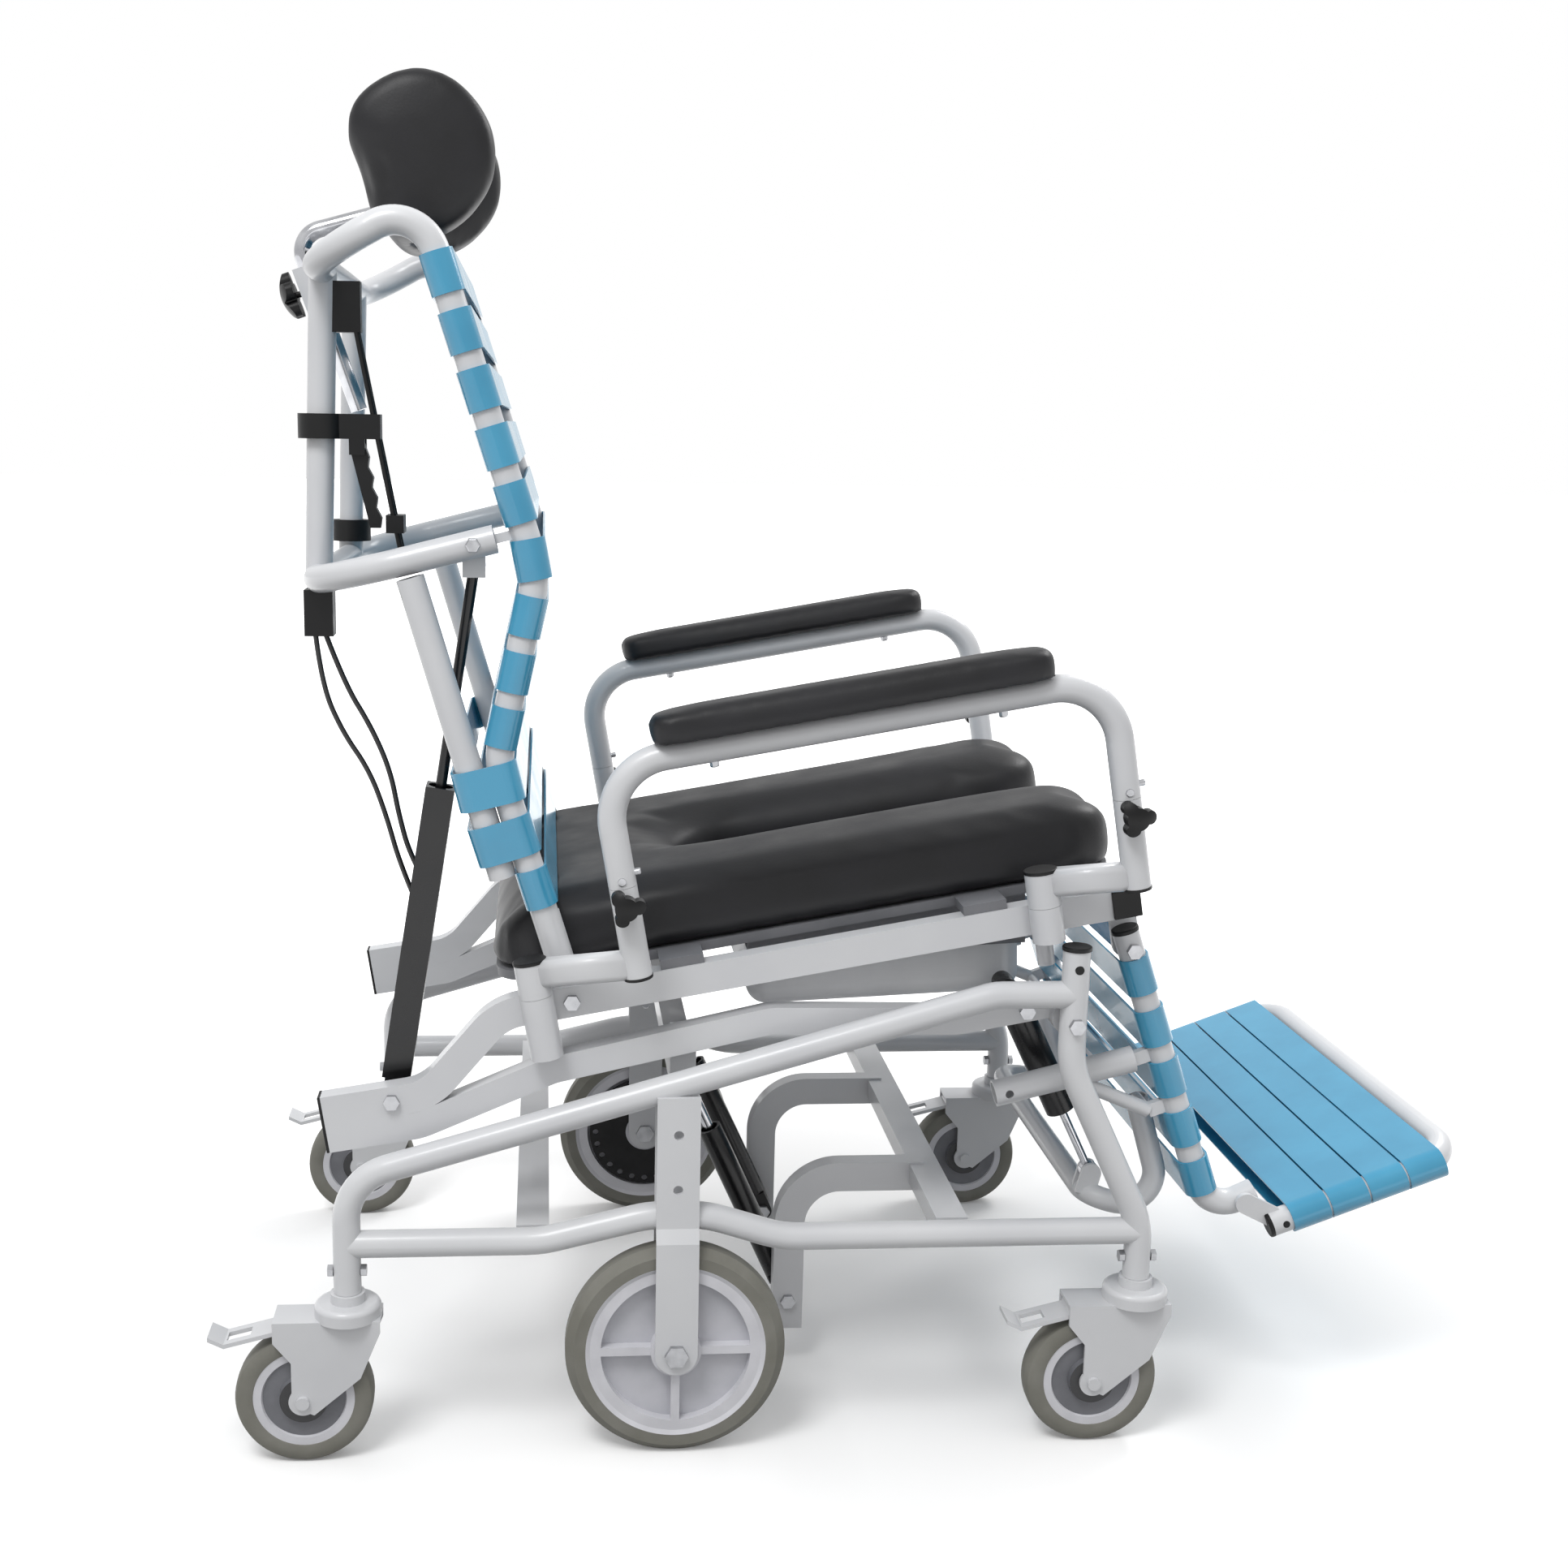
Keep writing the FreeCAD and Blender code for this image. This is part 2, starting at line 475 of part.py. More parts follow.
def turned_body(label, outline, placement):
    """A wheel turned about Y from a closed outline of (radius, station) formulas of the sheet."""
    body = doc.addObject("PartDesign::Body", label)
    body.Label = label
    sketch = body.newObject("Sketcher::SketchObject", label + "_outline")
    plane = [feature for feature in body.Origin.OriginFeatures if feature.Role == "XY_Plane"][0]
    sketch.AttachmentSupport = [(plane, "")]
    sketch.MapMode = "FlatFace"
    spots = [at(evaluate(radius), evaluate(station), 0) for radius, station in outline]
    for spot, following in zip(spots, spots[1:] + spots[:1]):
        sketch.addGeometry(Part.LineSegment(spot, following), False)
    for place, formulas in enumerate(outline):
        following = (place + 1) % len(outline)
        sketch.addConstraint(Sketcher.Constraint("Coincident", place, 2, following, 1))
        for direction, formula in zip(("DistanceX", "DistanceY"), formulas):
            rule = Sketcher.Constraint(direction, -1, 1, place, 1, evaluate(formula))
            number = sketch.addConstraint(rule)
            sketch.setExpression("Constraints[%d]" % number, formula)
    turn = body.newObject("PartDesign::Revolution", label + "_turned")
    turn.Profile = sketch
    turn.ReferenceAxis = (sketch, ["V_Axis"])
    turn.Angle = 360
    body.Placement = placement
    return body


# Half outline of the caster wheel from its bore to the middle of its tread: hub, thin web, tyre
CASTER_HALF = [("Sizes.caster_bore / 2", "Sizes.caster_hub_width / 2"),
               ("Sizes.caster_hub_dia / 2", "Sizes.caster_hub_width / 2"),
               ("Sizes.caster_hub_dia / 2", "Sizes.caster_width / 4"),
               ("Sizes.caster_dia / 2 - Sizes.tyre_depth", "Sizes.caster_width / 4"),
               ("Sizes.caster_dia / 2 - Sizes.tyre_depth", "Sizes.caster_width / 2"),
               ("Sizes.caster_dia / 2 - Sizes.tyre_shoulder", "Sizes.caster_width / 2"),
               ("Sizes.caster_dia / 2", "Sizes.caster_width / 2 - Sizes.tyre_shoulder")]
CASTER_OUTLINE = CASTER_HALF + [(radius, "-(%s)" % station) for radius, station in reversed(CASTER_HALF)]

for end, stem_x in (("rear", S.rear_stem_x), ("front", S.front_stem_x)):
    for hand, side in SIDES.items():
        stem = Placement(at(stem_x, side * S.base_half, 0), Rotation())
        name = "%s_%s" % (end, hand)
        piece("caster_fork_" + name, fork(), stem)
        piece("caster_pedal_" + name, pedal(), stem)
        axle = Placement(at(-S.caster_trail, 0, S.caster_dia / 2), Rotation())
        turned_body("caster_wheel_" + name, CASTER_OUTLINE, stem.multiply(axle))


# Centre wheels: tyre, rim, web, hub, four spokes on the outside and a brake disc on the inside
def revolved(outline):
    points = [at(radius, station, 0) for radius, station in outline]
    return Part.Face(Part.makePolygon(points + points[:1])).revolve(at(0, 0, 0), ACROSS, 360)


SPOKES = 4
DISC_HOLES = 24


def centre_wheel():
    bore = S.axle_dia / 2 + S.running_fit
    rim, rim_inner, tread = S.rim_dia / 2, S.rim_inner_dia / 2, S.wheel_dia / 2
    hub, hub_half, web_half = S.hub_dia / 2, S.hub_width / 2, S.web_thick / 2
    half = S.wheel_width / 2
    lip = half - S.web_thick / 3
    bead, crown = S.wheel_bead, S.wheel_crown
    side = [(bore, hub_half), (hub, hub_half), (hub, web_half), (rim_inner, web_half), (rim_inner, lip),
            (rim, lip), (rim + bead, half), (tread - crown, half), (tread, half - crown)]
    wheel = revolved(side + [(radius, -station) for radius, station in reversed(side)])
    spokes = []
    for turn in range(SPOKES):
        spoke_corner = at(hub - S.wheel_sink, -lip, -S.spoke_width / 2)
        spoke = Part.makeBox(rim_inner - hub + 2 * S.wheel_sink, lip - web_half, S.spoke_width, spoke_corner)
        spokes.append(spoke.rotate(at(0, 0, 0), ACROSS, 360 / SPOKES * turn))
    disc_start = hub_half - S.disc_thick - S.gap
    disc = Part.makeCylinder(S.disc_dia / 2, S.disc_thick, at(0, disc_start, 0), ACROSS)
    disc = disc.cut(Part.makeCylinder(hub - S.wheel_sink, S.disc_thick, at(0, disc_start, 0), ACROSS))
    holes = []
    reach = S.disc_dia / 2 - S.disc_hole_dia
    for step in range(DISC_HOLES):
        angle = 2 * math.pi / DISC_HOLES * step
        centre = at(reach * math.cos(angle), disc_start + S.disc_thick / 2, reach * math.sin(angle))
        holes.append(pin(centre, S.disc_hole_dia, 2 * S.disc_thick))
    return wheel.fuse(spokes).fuse(disc.cut(holes))


pair("centre_wheel", centre_wheel().translate(at(S.wheel_x, -S.base_half, S.wheel_dia / 2)))


# Seat frame: everything on it is set out along the seat slope, s ahead and n square to it
SEAT = Placement(at(S.seat_x, 0, S.seat_z), Rotation(ACROSS, -S.seat_slope))
NORMAL = SEAT.Rotation.multVec(UP)


def on_seat(s, y, n):
    return SEAT.multVec(at(s, y, n))


def socket(s, foot, pin_top):
    """A post socket beside the rail, with the pin that the armrest turns on where it has one."""
    y = -S.post_half
    top = S.post_split - S.gap
    body = Part.makeCylinder(S.post_dia / 2, top - foot, on_seat(s, y, foot), NORMAL)
    if pin_top:
        body = body.fuse(Part.makeCylinder(S.post_pin_dia / 2, pin_top - foot, on_seat(s, y, foot), NORMAL))
    return body


def hinge_bolt_hole(centre, length):
    return pin(centre, S.bolt_dia + 2 * S.running_fit, length)


def back_pivot(side):
    return on_seat(S.hinge_s, side * S.seat_half, 0)


def recline_foot():
    """Lower pivot of the recline spring, on the rear run of the upper rail."""
    run = (S.recline_foot_x - S.rail_rear_x) / (S.rail_foot_x - S.rail_rear_x)
    return at(S.recline_foot_x, -S.recline_half, S.rail_rear_z + run * (S.rail_foot_z - S.rail_rear_z))


def seat_side():
    y = -S.seat_half
    rear = at(S.rail_rear_x, y, S.rail_rear_z)
    foot = at(S.rail_foot_x, y, S.rail_foot_z)
    upper = [rear, foot, at(S.seat_x, y, S.seat_z), on_seat(S.rail_length, y, 0)]
    along = (foot - rear).normalize()
    stack = along.cross(ACROSS) * -((S.rail_height + S.lower_rail_height) / 2)
    start = rear + stack
    knee = start + along * ((S.lower_knee_x - start.x) / along.x)
    lower = [start, knee, at(S.lower_rise_x, y, S.lower_rise_z), at(S.lower_crest_x, y, S.lower_crest_z),
             at(S.lower_dip_x, y, S.lower_dip_z), at(S.upright_x, y, S.tilt_z + S.lower_rail_height / 2)]
    boss_start = at(S.upright_x, -(S.base_half - S.tube_od / 2 - S.gap), S.tilt_z)
    boss_end = -S.seat_half + S.rail_width / 2
    boss = Part.makeCylinder(S.tilt_boss_dia / 2, boss_end - boss_start.y, boss_start, ACROSS)
    latch_s, latch_top = S.front_post_s, -S.rail_height / 2 + S.weld_sink
    latch = Part.makeCylinder(S.rail_width * 0.4, S.latch_length, on_seat(latch_s, y, latch_top), NORMAL * -1)
    frame = weld([box_tube(upper, S.rail_width, S.rail_height, S.rail_bend),
                  box_tube(lower, S.rail_width, S.lower_rail_height, S.rail_bend), (boss, None),
                  (socket(S.rear_post_s, S.rear_post_foot, S.post_top - S.cap_height - S.gap), None),
                  (socket(S.front_post_s, S.front_post_foot, 0), None), (latch, None)])
    through = 2 * (S.base_half - S.seat_half) + S.rail_width
    for centre in (at(S.upright_x, y, S.tilt_z), back_pivot(RIGHT), at(recline_foot().x, y, recline_foot().z),
                   at(S.lift_x, y, S.lift_z)):
        frame = frame.cut(hinge_bolt_hole(centre, through))
    return frame


pair("seat_side", seat_side())


def leg_pivot(side):
    return on_seat(S.leg_pivot_s, side * S.leg_half, S.leg_pivot_n)


def leg_bracket(side):
    """A plate under the front cross tube that carries the legrest hinge, inboard of the leg tube."""
    inside = S.leg_half - S.tube_od / 2 - S.gap - S.plate_thick
    top = -S.front_cross_size / 2
    plate = Part.makeBox(S.front_cross_size, S.plate_thick, top - S.leg_pivot_n,
                         at(S.leg_pivot_s - S.front_cross_size / 2, inside, S.leg_pivot_n))
    middle = at(S.leg_pivot_s, inside, S.leg_pivot_n)
    eye = Part.makeCylinder(S.front_cross_size / 2, S.plate_thick, middle, ACROSS)
    plate = plate.fuse(eye)
    hole = S.bolt_dia + 2 * S.running_fit
    plate = plate.cut(pin(at(S.leg_pivot_s, 0, S.leg_pivot_n), hole, 4 * S.leg_half))
    return plate if side == LEFT else mirrored(plate)


front_s = S.rail_length + S.front_cross_size / 2
front_cross = span(front_s, 0, S.front_cross_size, S.front_cross_size, S.seat_half + S.rail_width / 2)
front_members = [front_cross] + [(leg_bracket(side), None) for side in SIDES.values()]
piece("seat_cross_front", weld(front_members), SEAT)


def tilt_eye():
    """Upper pivot of the right tilt spring, on a lug under the rear cross tube."""
    return at(S.rear_cross_x, -tilt_spring_half(), S.rear_cross_z - S.rear_cross_size / 2 - S.lug_drop)


def tilt_lug():
    """Two cheeks either side of the eye of a tilt spring's rod."""
    cheeks = []
    eye = tilt_eye()
    top = S.rear_cross_z - S.rear_cross_size / 2
    radius = S.bolt_dia
    for side in SIDES.values():
        start = side * (S.tilt_rod / 2 + S.gap)
        cheek = Part.makeBox(2 * radius, S.lug_thick, top - eye.z, at(eye.x - radius, eye.y + start, eye.z))
        cheek = cheek.fuse(Part.makeCylinder(radius, S.lug_thick, at(eye.x, eye.y + start, eye.z), ACROSS))
        if side == RIGHT:
            cheek.translate(ACROSS * -S.lug_thick)
        cheeks.append(cheek.cut(hinge_bolt_hole(eye, 4 * S.tilt_tube)))
    return cheeks


rail_inside = S.seat_half - S.rail_width / 2
hanger_top = S.rear_cross_z + S.hanger_height
hanger_foot = S.rear_cross_z - S.rear_cross_size / 2
hanger = Part.makeBox(S.rear_cross_size, S.plate_thick, hanger_top - hanger_foot,
                      at(S.rear_cross_x - S.rear_cross_size / 2, -rail_inside, hanger_foot))
rear_cross = span(S.rear_cross_x, S.rear_cross_z, S.rear_cross_size, S.rear_cross_size,
                  rail_inside - S.plate_thick)
lugs = tilt_lug()
rear_members = [rear_cross, (hanger, None), (mirrored(hanger), None)]
rear_members += [(lug, None) for lug in lugs] + [(mirrored(lug), None) for lug in lugs]
piece("seat_cross_rear", weld(rear_members))


# Seat board with the runners of the commode pan, the horseshoe cushion and the pan
def horseshoe(half, rear, front, slot_half, corner, lobe):
    """Plan of the seat: rounded rear corners, a slot open to the front between two rounded lobes."""
    slot_hub = S.slot_rear_s + slot_half
    turn = 1 - 1 / math.sqrt(2)
    edges = []

    def line(x0, y0, x1, y1):
        edges.append(Part.makeLine(at(x0, y0, 0), at(x1, y1, 0)))

    def arc(x0, y0, x1, y1, x2, y2):
        edges.append(Part.Arc(at(x0, y0, 0), at(x1, y1, 0), at(x2, y2, 0)).toShape())

    for y in (1, -1):
        arc(rear, y * (half - corner), rear + corner * turn, y * (half - corner * turn),
            rear + corner, y * half)
        line(rear + corner, y * half, front - lobe, y * half)
        arc(front - lobe, y * half, front - lobe * turn, y * (half - lobe * turn), front, y * (half - lobe))
        line(front, y * (half - lobe), front, y * (slot_half + lobe))
        arc(front, y * (slot_half + lobe), front - lobe * turn, y * (slot_half + lobe * turn),
            front - lobe, y * slot_half)
        line(front - lobe, y * slot_half, slot_hub, y * slot_half)
        hub_turn = slot_half / math.sqrt(2)
        arc(slot_hub, y * slot_half, slot_hub - hub_turn, y * hub_turn, S.slot_rear_s, 0)
    line(rear, half - corner, rear, corner - half)
    return Part.Face(Part.Wire(Part.__sortEdges__(edges)))


def cushion():
    """Upholstered horseshoe, rounded over, with its rear edge rolled down clear of the reclining bands."""
    plan = horseshoe(S.cushion_half, S.cushion_rear_s, S.cushion_front_s, S.slot_half,
                     S.cushion_corner, S.lobe_corner)
    pad = plan.extrude(UP * S.cushion_height)
    lift = S.rail_height / 2 + S.board_thick
    hinge = at(S.hinge_s, 0, -lift)
    room = 2 * S.cushion_half
    behind = Part.makeBox(room, 2 * room, room, at(S.hinge_s - room, -room, -lift))
    pad = pad.cut(behind.cut(pin(hinge, 2 * S.cushion_sweep, 3 * room))).removeSplitter()
    upper = [edge for edge in pad.Edges
             if edge.BoundBox.ZMin > S.gap and max(edge.BoundBox.XLength, edge.BoundBox.YLength) > 1]
    pad = pad.makeFillet(S.cushion_edge, upper)
    lower = [edge for edge in pad.Edges if edge.BoundBox.ZMax < S.gap]
    pad = pad.makeFillet(S.cushion_edge / 3, lower)
    pad.translate(UP * lift)
    return pad


def pan_runner():
    """Hanger of the commode pan on the right: a web from the board to under the pan's lip, with a ledge."""
    outside = S.pan_half + S.pan_lip + S.gap
    rim_z = S.pan_depth - S.pan_wall
    length = S.pan_front_x - S.pan_rear_x
    web = Part.makeBox(length, S.runner_thick, S.pan_depth + S.runner_rise,
                       at(-length / 2, -outside - S.runner_thick, rim_z - S.gap - S.runner_thick))
    ledge = Part.makeBox(length, S.pan_lip, S.runner_thick,
                         at(-length / 2, -outside, rim_z - S.gap - S.runner_thick))
    hanger = web.fuse(ledge)
    hanger.Placement = PAN.multiply(hanger.Placement)
    above = Part.makeBox(2 * S.rail_length, 2 * S.base_half, S.rail_length,
                         at(-S.rail_length / 2, -S.base_half, S.rail_height / 2))
    above.Placement = SEAT.multiply(above.Placement)
    return hanger.cut(above)


def seat_board():
    inset = S.board_inset
    plan = horseshoe(S.cushion_half - inset, S.cushion_rear_s + inset, S.cushion_front_s - 2 * inset,
                     S.slot_half + inset, S.cushion_corner - inset, S.lobe_corner)
    board = plan.extrude(UP * S.board_thick)
    tab_half = S.post_half - S.post_dia / 2 - S.gap
    for s in (S.tab_rear_s, S.tab_front_s):
        for side in SIDES.values():
            start = S.cushion_half - 3 * inset if side == LEFT else -tab_half
            tab = Part.makeBox(S.tab_length, tab_half - S.cushion_half + 3 * inset, S.board_thick)
            board = board.fuse(tab.translated(at(s, start, 0)))
    board = board.removeSplitter()
    board.translate(UP * (S.rail_height / 2))
    board.Placement = SEAT.multiply(board.Placement)
    runner = pan_runner()
    return Part.makeCompound(board.Solids + runner.Solids + mirrored(runner).Solids)


def commode_pan():
    """A deep tray with a rolled-out lip that slides on the runners."""
    length, half = S.pan_front_x - S.pan_rear_x, S.pan_half
    outer = Part.makeBox(length, 2 * half, S.pan_depth, at(-length / 2, -half, 0))
    wall = S.pan_wall
    inner_corner = at(wall - length / 2, wall - half, wall)
    inner = Part.makeBox(length - 2 * wall, 2 * (half - wall), S.pan_depth, inner_corner)
    low = [edge for edge in outer.Edges if edge.BoundBox.ZMin < wall]
    outer = outer.makeFillet(S.pan_corner, low)
    low = [edge for edge in inner.Edges if edge.BoundBox.ZMin < S.pan_depth - wall]
    inner = inner.makeFillet(S.pan_corner - wall, low)
    lip_corner = at(-length / 2, -half - S.pan_lip, S.pan_depth - wall)
    lip = Part.makeBox(length, 2 * (half + S.pan_lip), wall, lip_corner)
    return outer.fuse(lip).cut(inner).removeSplitter()


PAN = Placement(at((S.pan_rear_x + S.pan_front_x) / 2, 0, S.pan_floor_z), Rotation(ACROSS, -S.pan_slope))
piece("seat_board", seat_board())
piece("seat_cushion", cushion(), SEAT)
piece("commode_pan", commode_pan(), PAN)


# Fasteners of the seat frame: back hinge, recline spring and legrest hinge, one of each kind per side
def seat_bolt_set():
    rail_outside = -S.seat_half - S.rail_width / 2
    hinge = back_pivot(RIGHT)
    plate_inside = -S.seat_half + S.rail_width / 2 + 2 * S.gap + S.hinge_plate
    hinge_bolt = bolt(at(hinge.x, rail_outside, hinge.z), at(hinge.x, plate_inside, hinge.z),
                      S.bolt_dia, S.bolt_head_dia)
    leg = leg_pivot(RIGHT)
    leg_outside = -S.leg_half - S.tube_od / 2 - S.gap
    bracket_inside = -S.leg_half + S.tube_od / 2 + S.gap + S.plate_thick
    leg_bolt = bolt(at(leg.x, leg_outside, leg.z), at(leg.x, bracket_inside, leg.z),
                    S.bolt_dia, S.bolt_head_dia)
    eye = tilt_eye()
    half = S.tilt_rod / 2 + S.gap + S.lug_thick
    eye_bolt = bolt(eye - ACROSS * half, eye + ACROSS * half, S.bolt_dia, S.bolt_head_dia)
    return [hinge_bolt, leg_bolt, eye_bolt]


def lift_bolt():
    """Upper pivot of the lift spring: through the lower rail, a spacer and the cylinder's eye."""
    rail_outside, rail_inside = -S.seat_half - S.rail_width / 2, -S.seat_half + S.rail_width / 2
    eye_outside = -S.lift_half - S.lift_tube / 2 - S.gap
    eye_inside = -S.lift_half + S.lift_tube / 2 + S.gap
    body = bolt(at(S.lift_x, rail_outside, S.lift_z), at(S.lift_x, eye_inside, S.lift_z),
                S.bolt_dia, S.bolt_head_dia)
    spacer_start = at(S.lift_x, rail_inside, S.lift_z)
    spacer = Part.makeCylinder(S.bolt_dia, eye_outside - rail_inside, spacer_start, ACROSS)
    return body.fuse(spacer).removeSplitter()


def recline_bolt():
    foot = recline_foot()
    rail_outside = -S.seat_half - S.rail_width / 2
    housing_inside = foot.y + S.recline_width / 2 + S.gap
    return bolt(at(foot.x, rail_outside, foot.z), at(foot.x, housing_inside, foot.z),
                S.bolt_dia, S.bolt_head_dia)


bolts = seat_bolt_set()
bolts += [mirrored(item) for item in bolts]
piece("seat_bolts", Part.makeCompound(bolts + [recline_bolt(), lift_bolt()]))


# Armrests: lower legs on the post sleeves, a bent upper tube that slides in them, a pad and two knobs
def sleeve(s, pin_dia):
    """Upper post sleeve, bored for the post pin where there is one."""
    foot = at(s, -S.post_half, S.post_split)
    body = Part.makeCylinder(S.post_dia / 2, S.post_top - S.post_split, foot)
    bore = Part.makeCylinder(pin_dia / 2, S.post_top - S.post_split - S.cap_height, foot) if pin_dia else None
    return body, bore


def arm_legs():
    y = -S.arm_half
    members = [sleeve(S.rear_post_s, S.post_pin_dia + 2 * S.gap), sleeve(S.front_post_s, 0)]
    insert_bore = S.tube_od - 2 * S.tube_wall
    leg_foot = S.stub_n - S.leg_drop
    for leg_s, post_s in ((S.arm_rear_s, S.rear_post_s), (S.arm_front_s, S.front_post_s)):
        leg = [at(leg_s, y, leg_foot), at(leg_s, y, S.arm_split_n - S.gap)]
        outer, bore = tube(leg, S.tube_od)
        floor = Part.makeCylinder(insert_bore / 2, 2 * S.tube_wall, leg[0])
        members.append((outer, bore.cut(floor)))
        members.append((rod([at(post_s, -S.post_half, S.stub_n), at(leg_s, y, S.stub_n)], S.stub_dia), None))
    legs = weld(members)
    for leg_s in (S.arm_rear_s, S.arm_front_s):
        legs = legs.cut(pin(at(leg_s, y - S.tube_od / 2, knob_n()), S.knob_stem + 2 * S.gap, S.tube_od / 2))
    return legs


def knob_n():
    return S.arm_split_n - S.knob_drop


def arm_tube():
    y = -S.arm_half
    points = [at(S.arm_rear_s, y, S.arm_split_n), at(S.arm_rear_s, y, S.arm_top_n),
              at(S.arm_front_s, y, S.arm_top_n), at(S.arm_front_s, y, S.arm_split_n)]
    members = [tube(points, S.tube_od, S.arm_bend)]
    for leg_s in (S.arm_rear_s, S.arm_front_s):
        insert = [at(leg_s, y, S.arm_split_n - S.arm_insert), at(leg_s, y, S.arm_split_n)]
        members.append(tube(insert, S.insert_od))
    return weld(members)


def arm_pad():
    """A rounded block saddled on the arm tube."""
    foot = S.arm_top_n + S.tube_od / 2 - S.weld_sink
    corner = at(S.pad_rear_s, -S.arm_half - S.pad_width / 2, foot)
    pad = Part.makeBox(S.pad_length, S.pad_width, S.pad_thick, corner)
    uprights = [edge for edge in pad.Edges if edge.BoundBox.ZLength > S.gap]
    pad = pad.makeFillet(S.pad_width * 0.4, uprights)
    top = [edge for edge in pad.Edges if edge.BoundBox.ZMin > foot + S.pad_thick - S.gap]
    pad = pad.makeFillet(S.pad_edge, top)
    return pad.cut(rod([at(S.pad_rear_s - S.pad_width, -S.arm_half, S.arm_top_n),
                        at(S.pad_rear_s + S.pad_length + S.pad_width, -S.arm_half, S.arm_top_n)], S.tube_od))


HUB_SHARE, LOBE_SHARE, LOBE_REACH, DOME_SHARE = 0.3, 0.18, 0.32, 0.75


def lobed_knob(diameter, height, lobes, reach):
    """A lobed hand knob on a clamping stem, drawn about its own axis with the stem below the face."""
    foot = at(0, 0, S.knob_collar)
    grip = Part.makeCylinder(HUB_SHARE * diameter, height, foot)
    for step in range(lobes):
        spot = Rotation(UP, 360 / lobes * step).multVec(at(LOBE_REACH * diameter, 0, 0))
        grip = grip.fuse(Part.makeCylinder(LOBE_SHARE * diameter, height, foot + spot))
    dome = DOME_SHARE * diameter
    grip = grip.common(Part.makeSphere(dome, foot + UP * (height - dome)))
    stem = Part.makeCylinder(S.knob_stem / 2, reach + S.knob_collar - S.gap, at(0, 0, S.gap - reach))
    return grip.fuse(stem).removeSplitter()


pair("arm_legs", arm_legs(), SEAT)
pair("arm_tube", arm_tube(), SEAT)
pair("arm_pad", arm_pad(), SEAT)
ARM_KNOB_LOBES = 3
for end, leg_s in (("rear", S.arm_rear_s), ("front", S.arm_front_s)):
    for hand, side in SIDES.items():
        spot = at(leg_s, side * (S.arm_half + S.tube_od / 2), knob_n())
        turn = Rotation(UP, ACROSS * side)
        knob = lobed_knob(S.knob_dia, S.knob_height, ARM_KNOB_LOBES, (S.tube_od - S.insert_od) / 2)
        piece("arm_knob_%s_%s" % (end, hand), knob, SEAT.multiply(Placement(spot, turn)))


# Backrest: two bent side tubes with a brace each, a looped push frame behind them and twelve bands
def side_path():
    """Right back tube from its foot to past the top bend."""
    y = -S.back_half
    apex = at(S.apex_x, y, S.apex_z)
    behind = at(S.loop_x, y, S.loop_z)
    return [at(S.back_foot_x, y, S.back_foot_z), at(S.back_rear_x, y, S.back_rear_z),
            at(S.back_front_x, y, S.back_front_z), apex, apex + (behind - apex).normalize() * S.apex_tail]


def back_bends():
    return [S.back_bend, S.back_bend, S.apex_bend]


def lower_arm(side):
    """Run of the lower loop from behind a side tube to the rear cross run: start and corner."""
    return at(S.arm_tip_x, side * S.back_half, S.arm_tip_z), at(S.low_x, side * S.back_half, S.low_z)


def back_side():
    y = -S.back_half
    path = side_path()
    foot, hinge = path[0], back_pivot(RIGHT)
    lean = math.degrees(math.atan2(foot.x - path[1].x, path[1].z - foot.z))
    flat_length = S.back_foot_z - hinge.z + S.hinge_lap
    flat = Part.makeBox(S.tube_od, S.hinge_plate, flat_length, at(-S.tube_od / 2, 0, 0))
    flat = flat.fuse(Part.makeCylinder(S.tube_od / 2, S.hinge_plate, at(0, 0, 0), ACROSS))
    flat = flat.cut(Part.makeCylinder(S.bolt_dia / 2 + S.running_fit, S.hinge_plate, at(0, 0, 0), ACROSS))
    flat.Placement = Placement(at(hinge.x, y + S.hinge_inset, hinge.z), Rotation(ACROSS, -lean))
    brace = [at(S.brace_foot_x, y, S.brace_foot_z), at(S.brace_top_x, y, S.brace_top_z)]
    brace_outer, brace_bore = tube(brace, S.tube_od)
    tip, corner = lower_arm(RIGHT)
    brace_outer = brace_outer.cut(rod([tip, corner], S.tube_od))
    return weld([(flat, None), tube(path, S.tube_od, back_bends()), (brace_outer, brace_bore)])


pair("back_side", back_side())


def recline_head():
    return at(S.recline_head_x, -S.recline_half, S.recline_head_z)


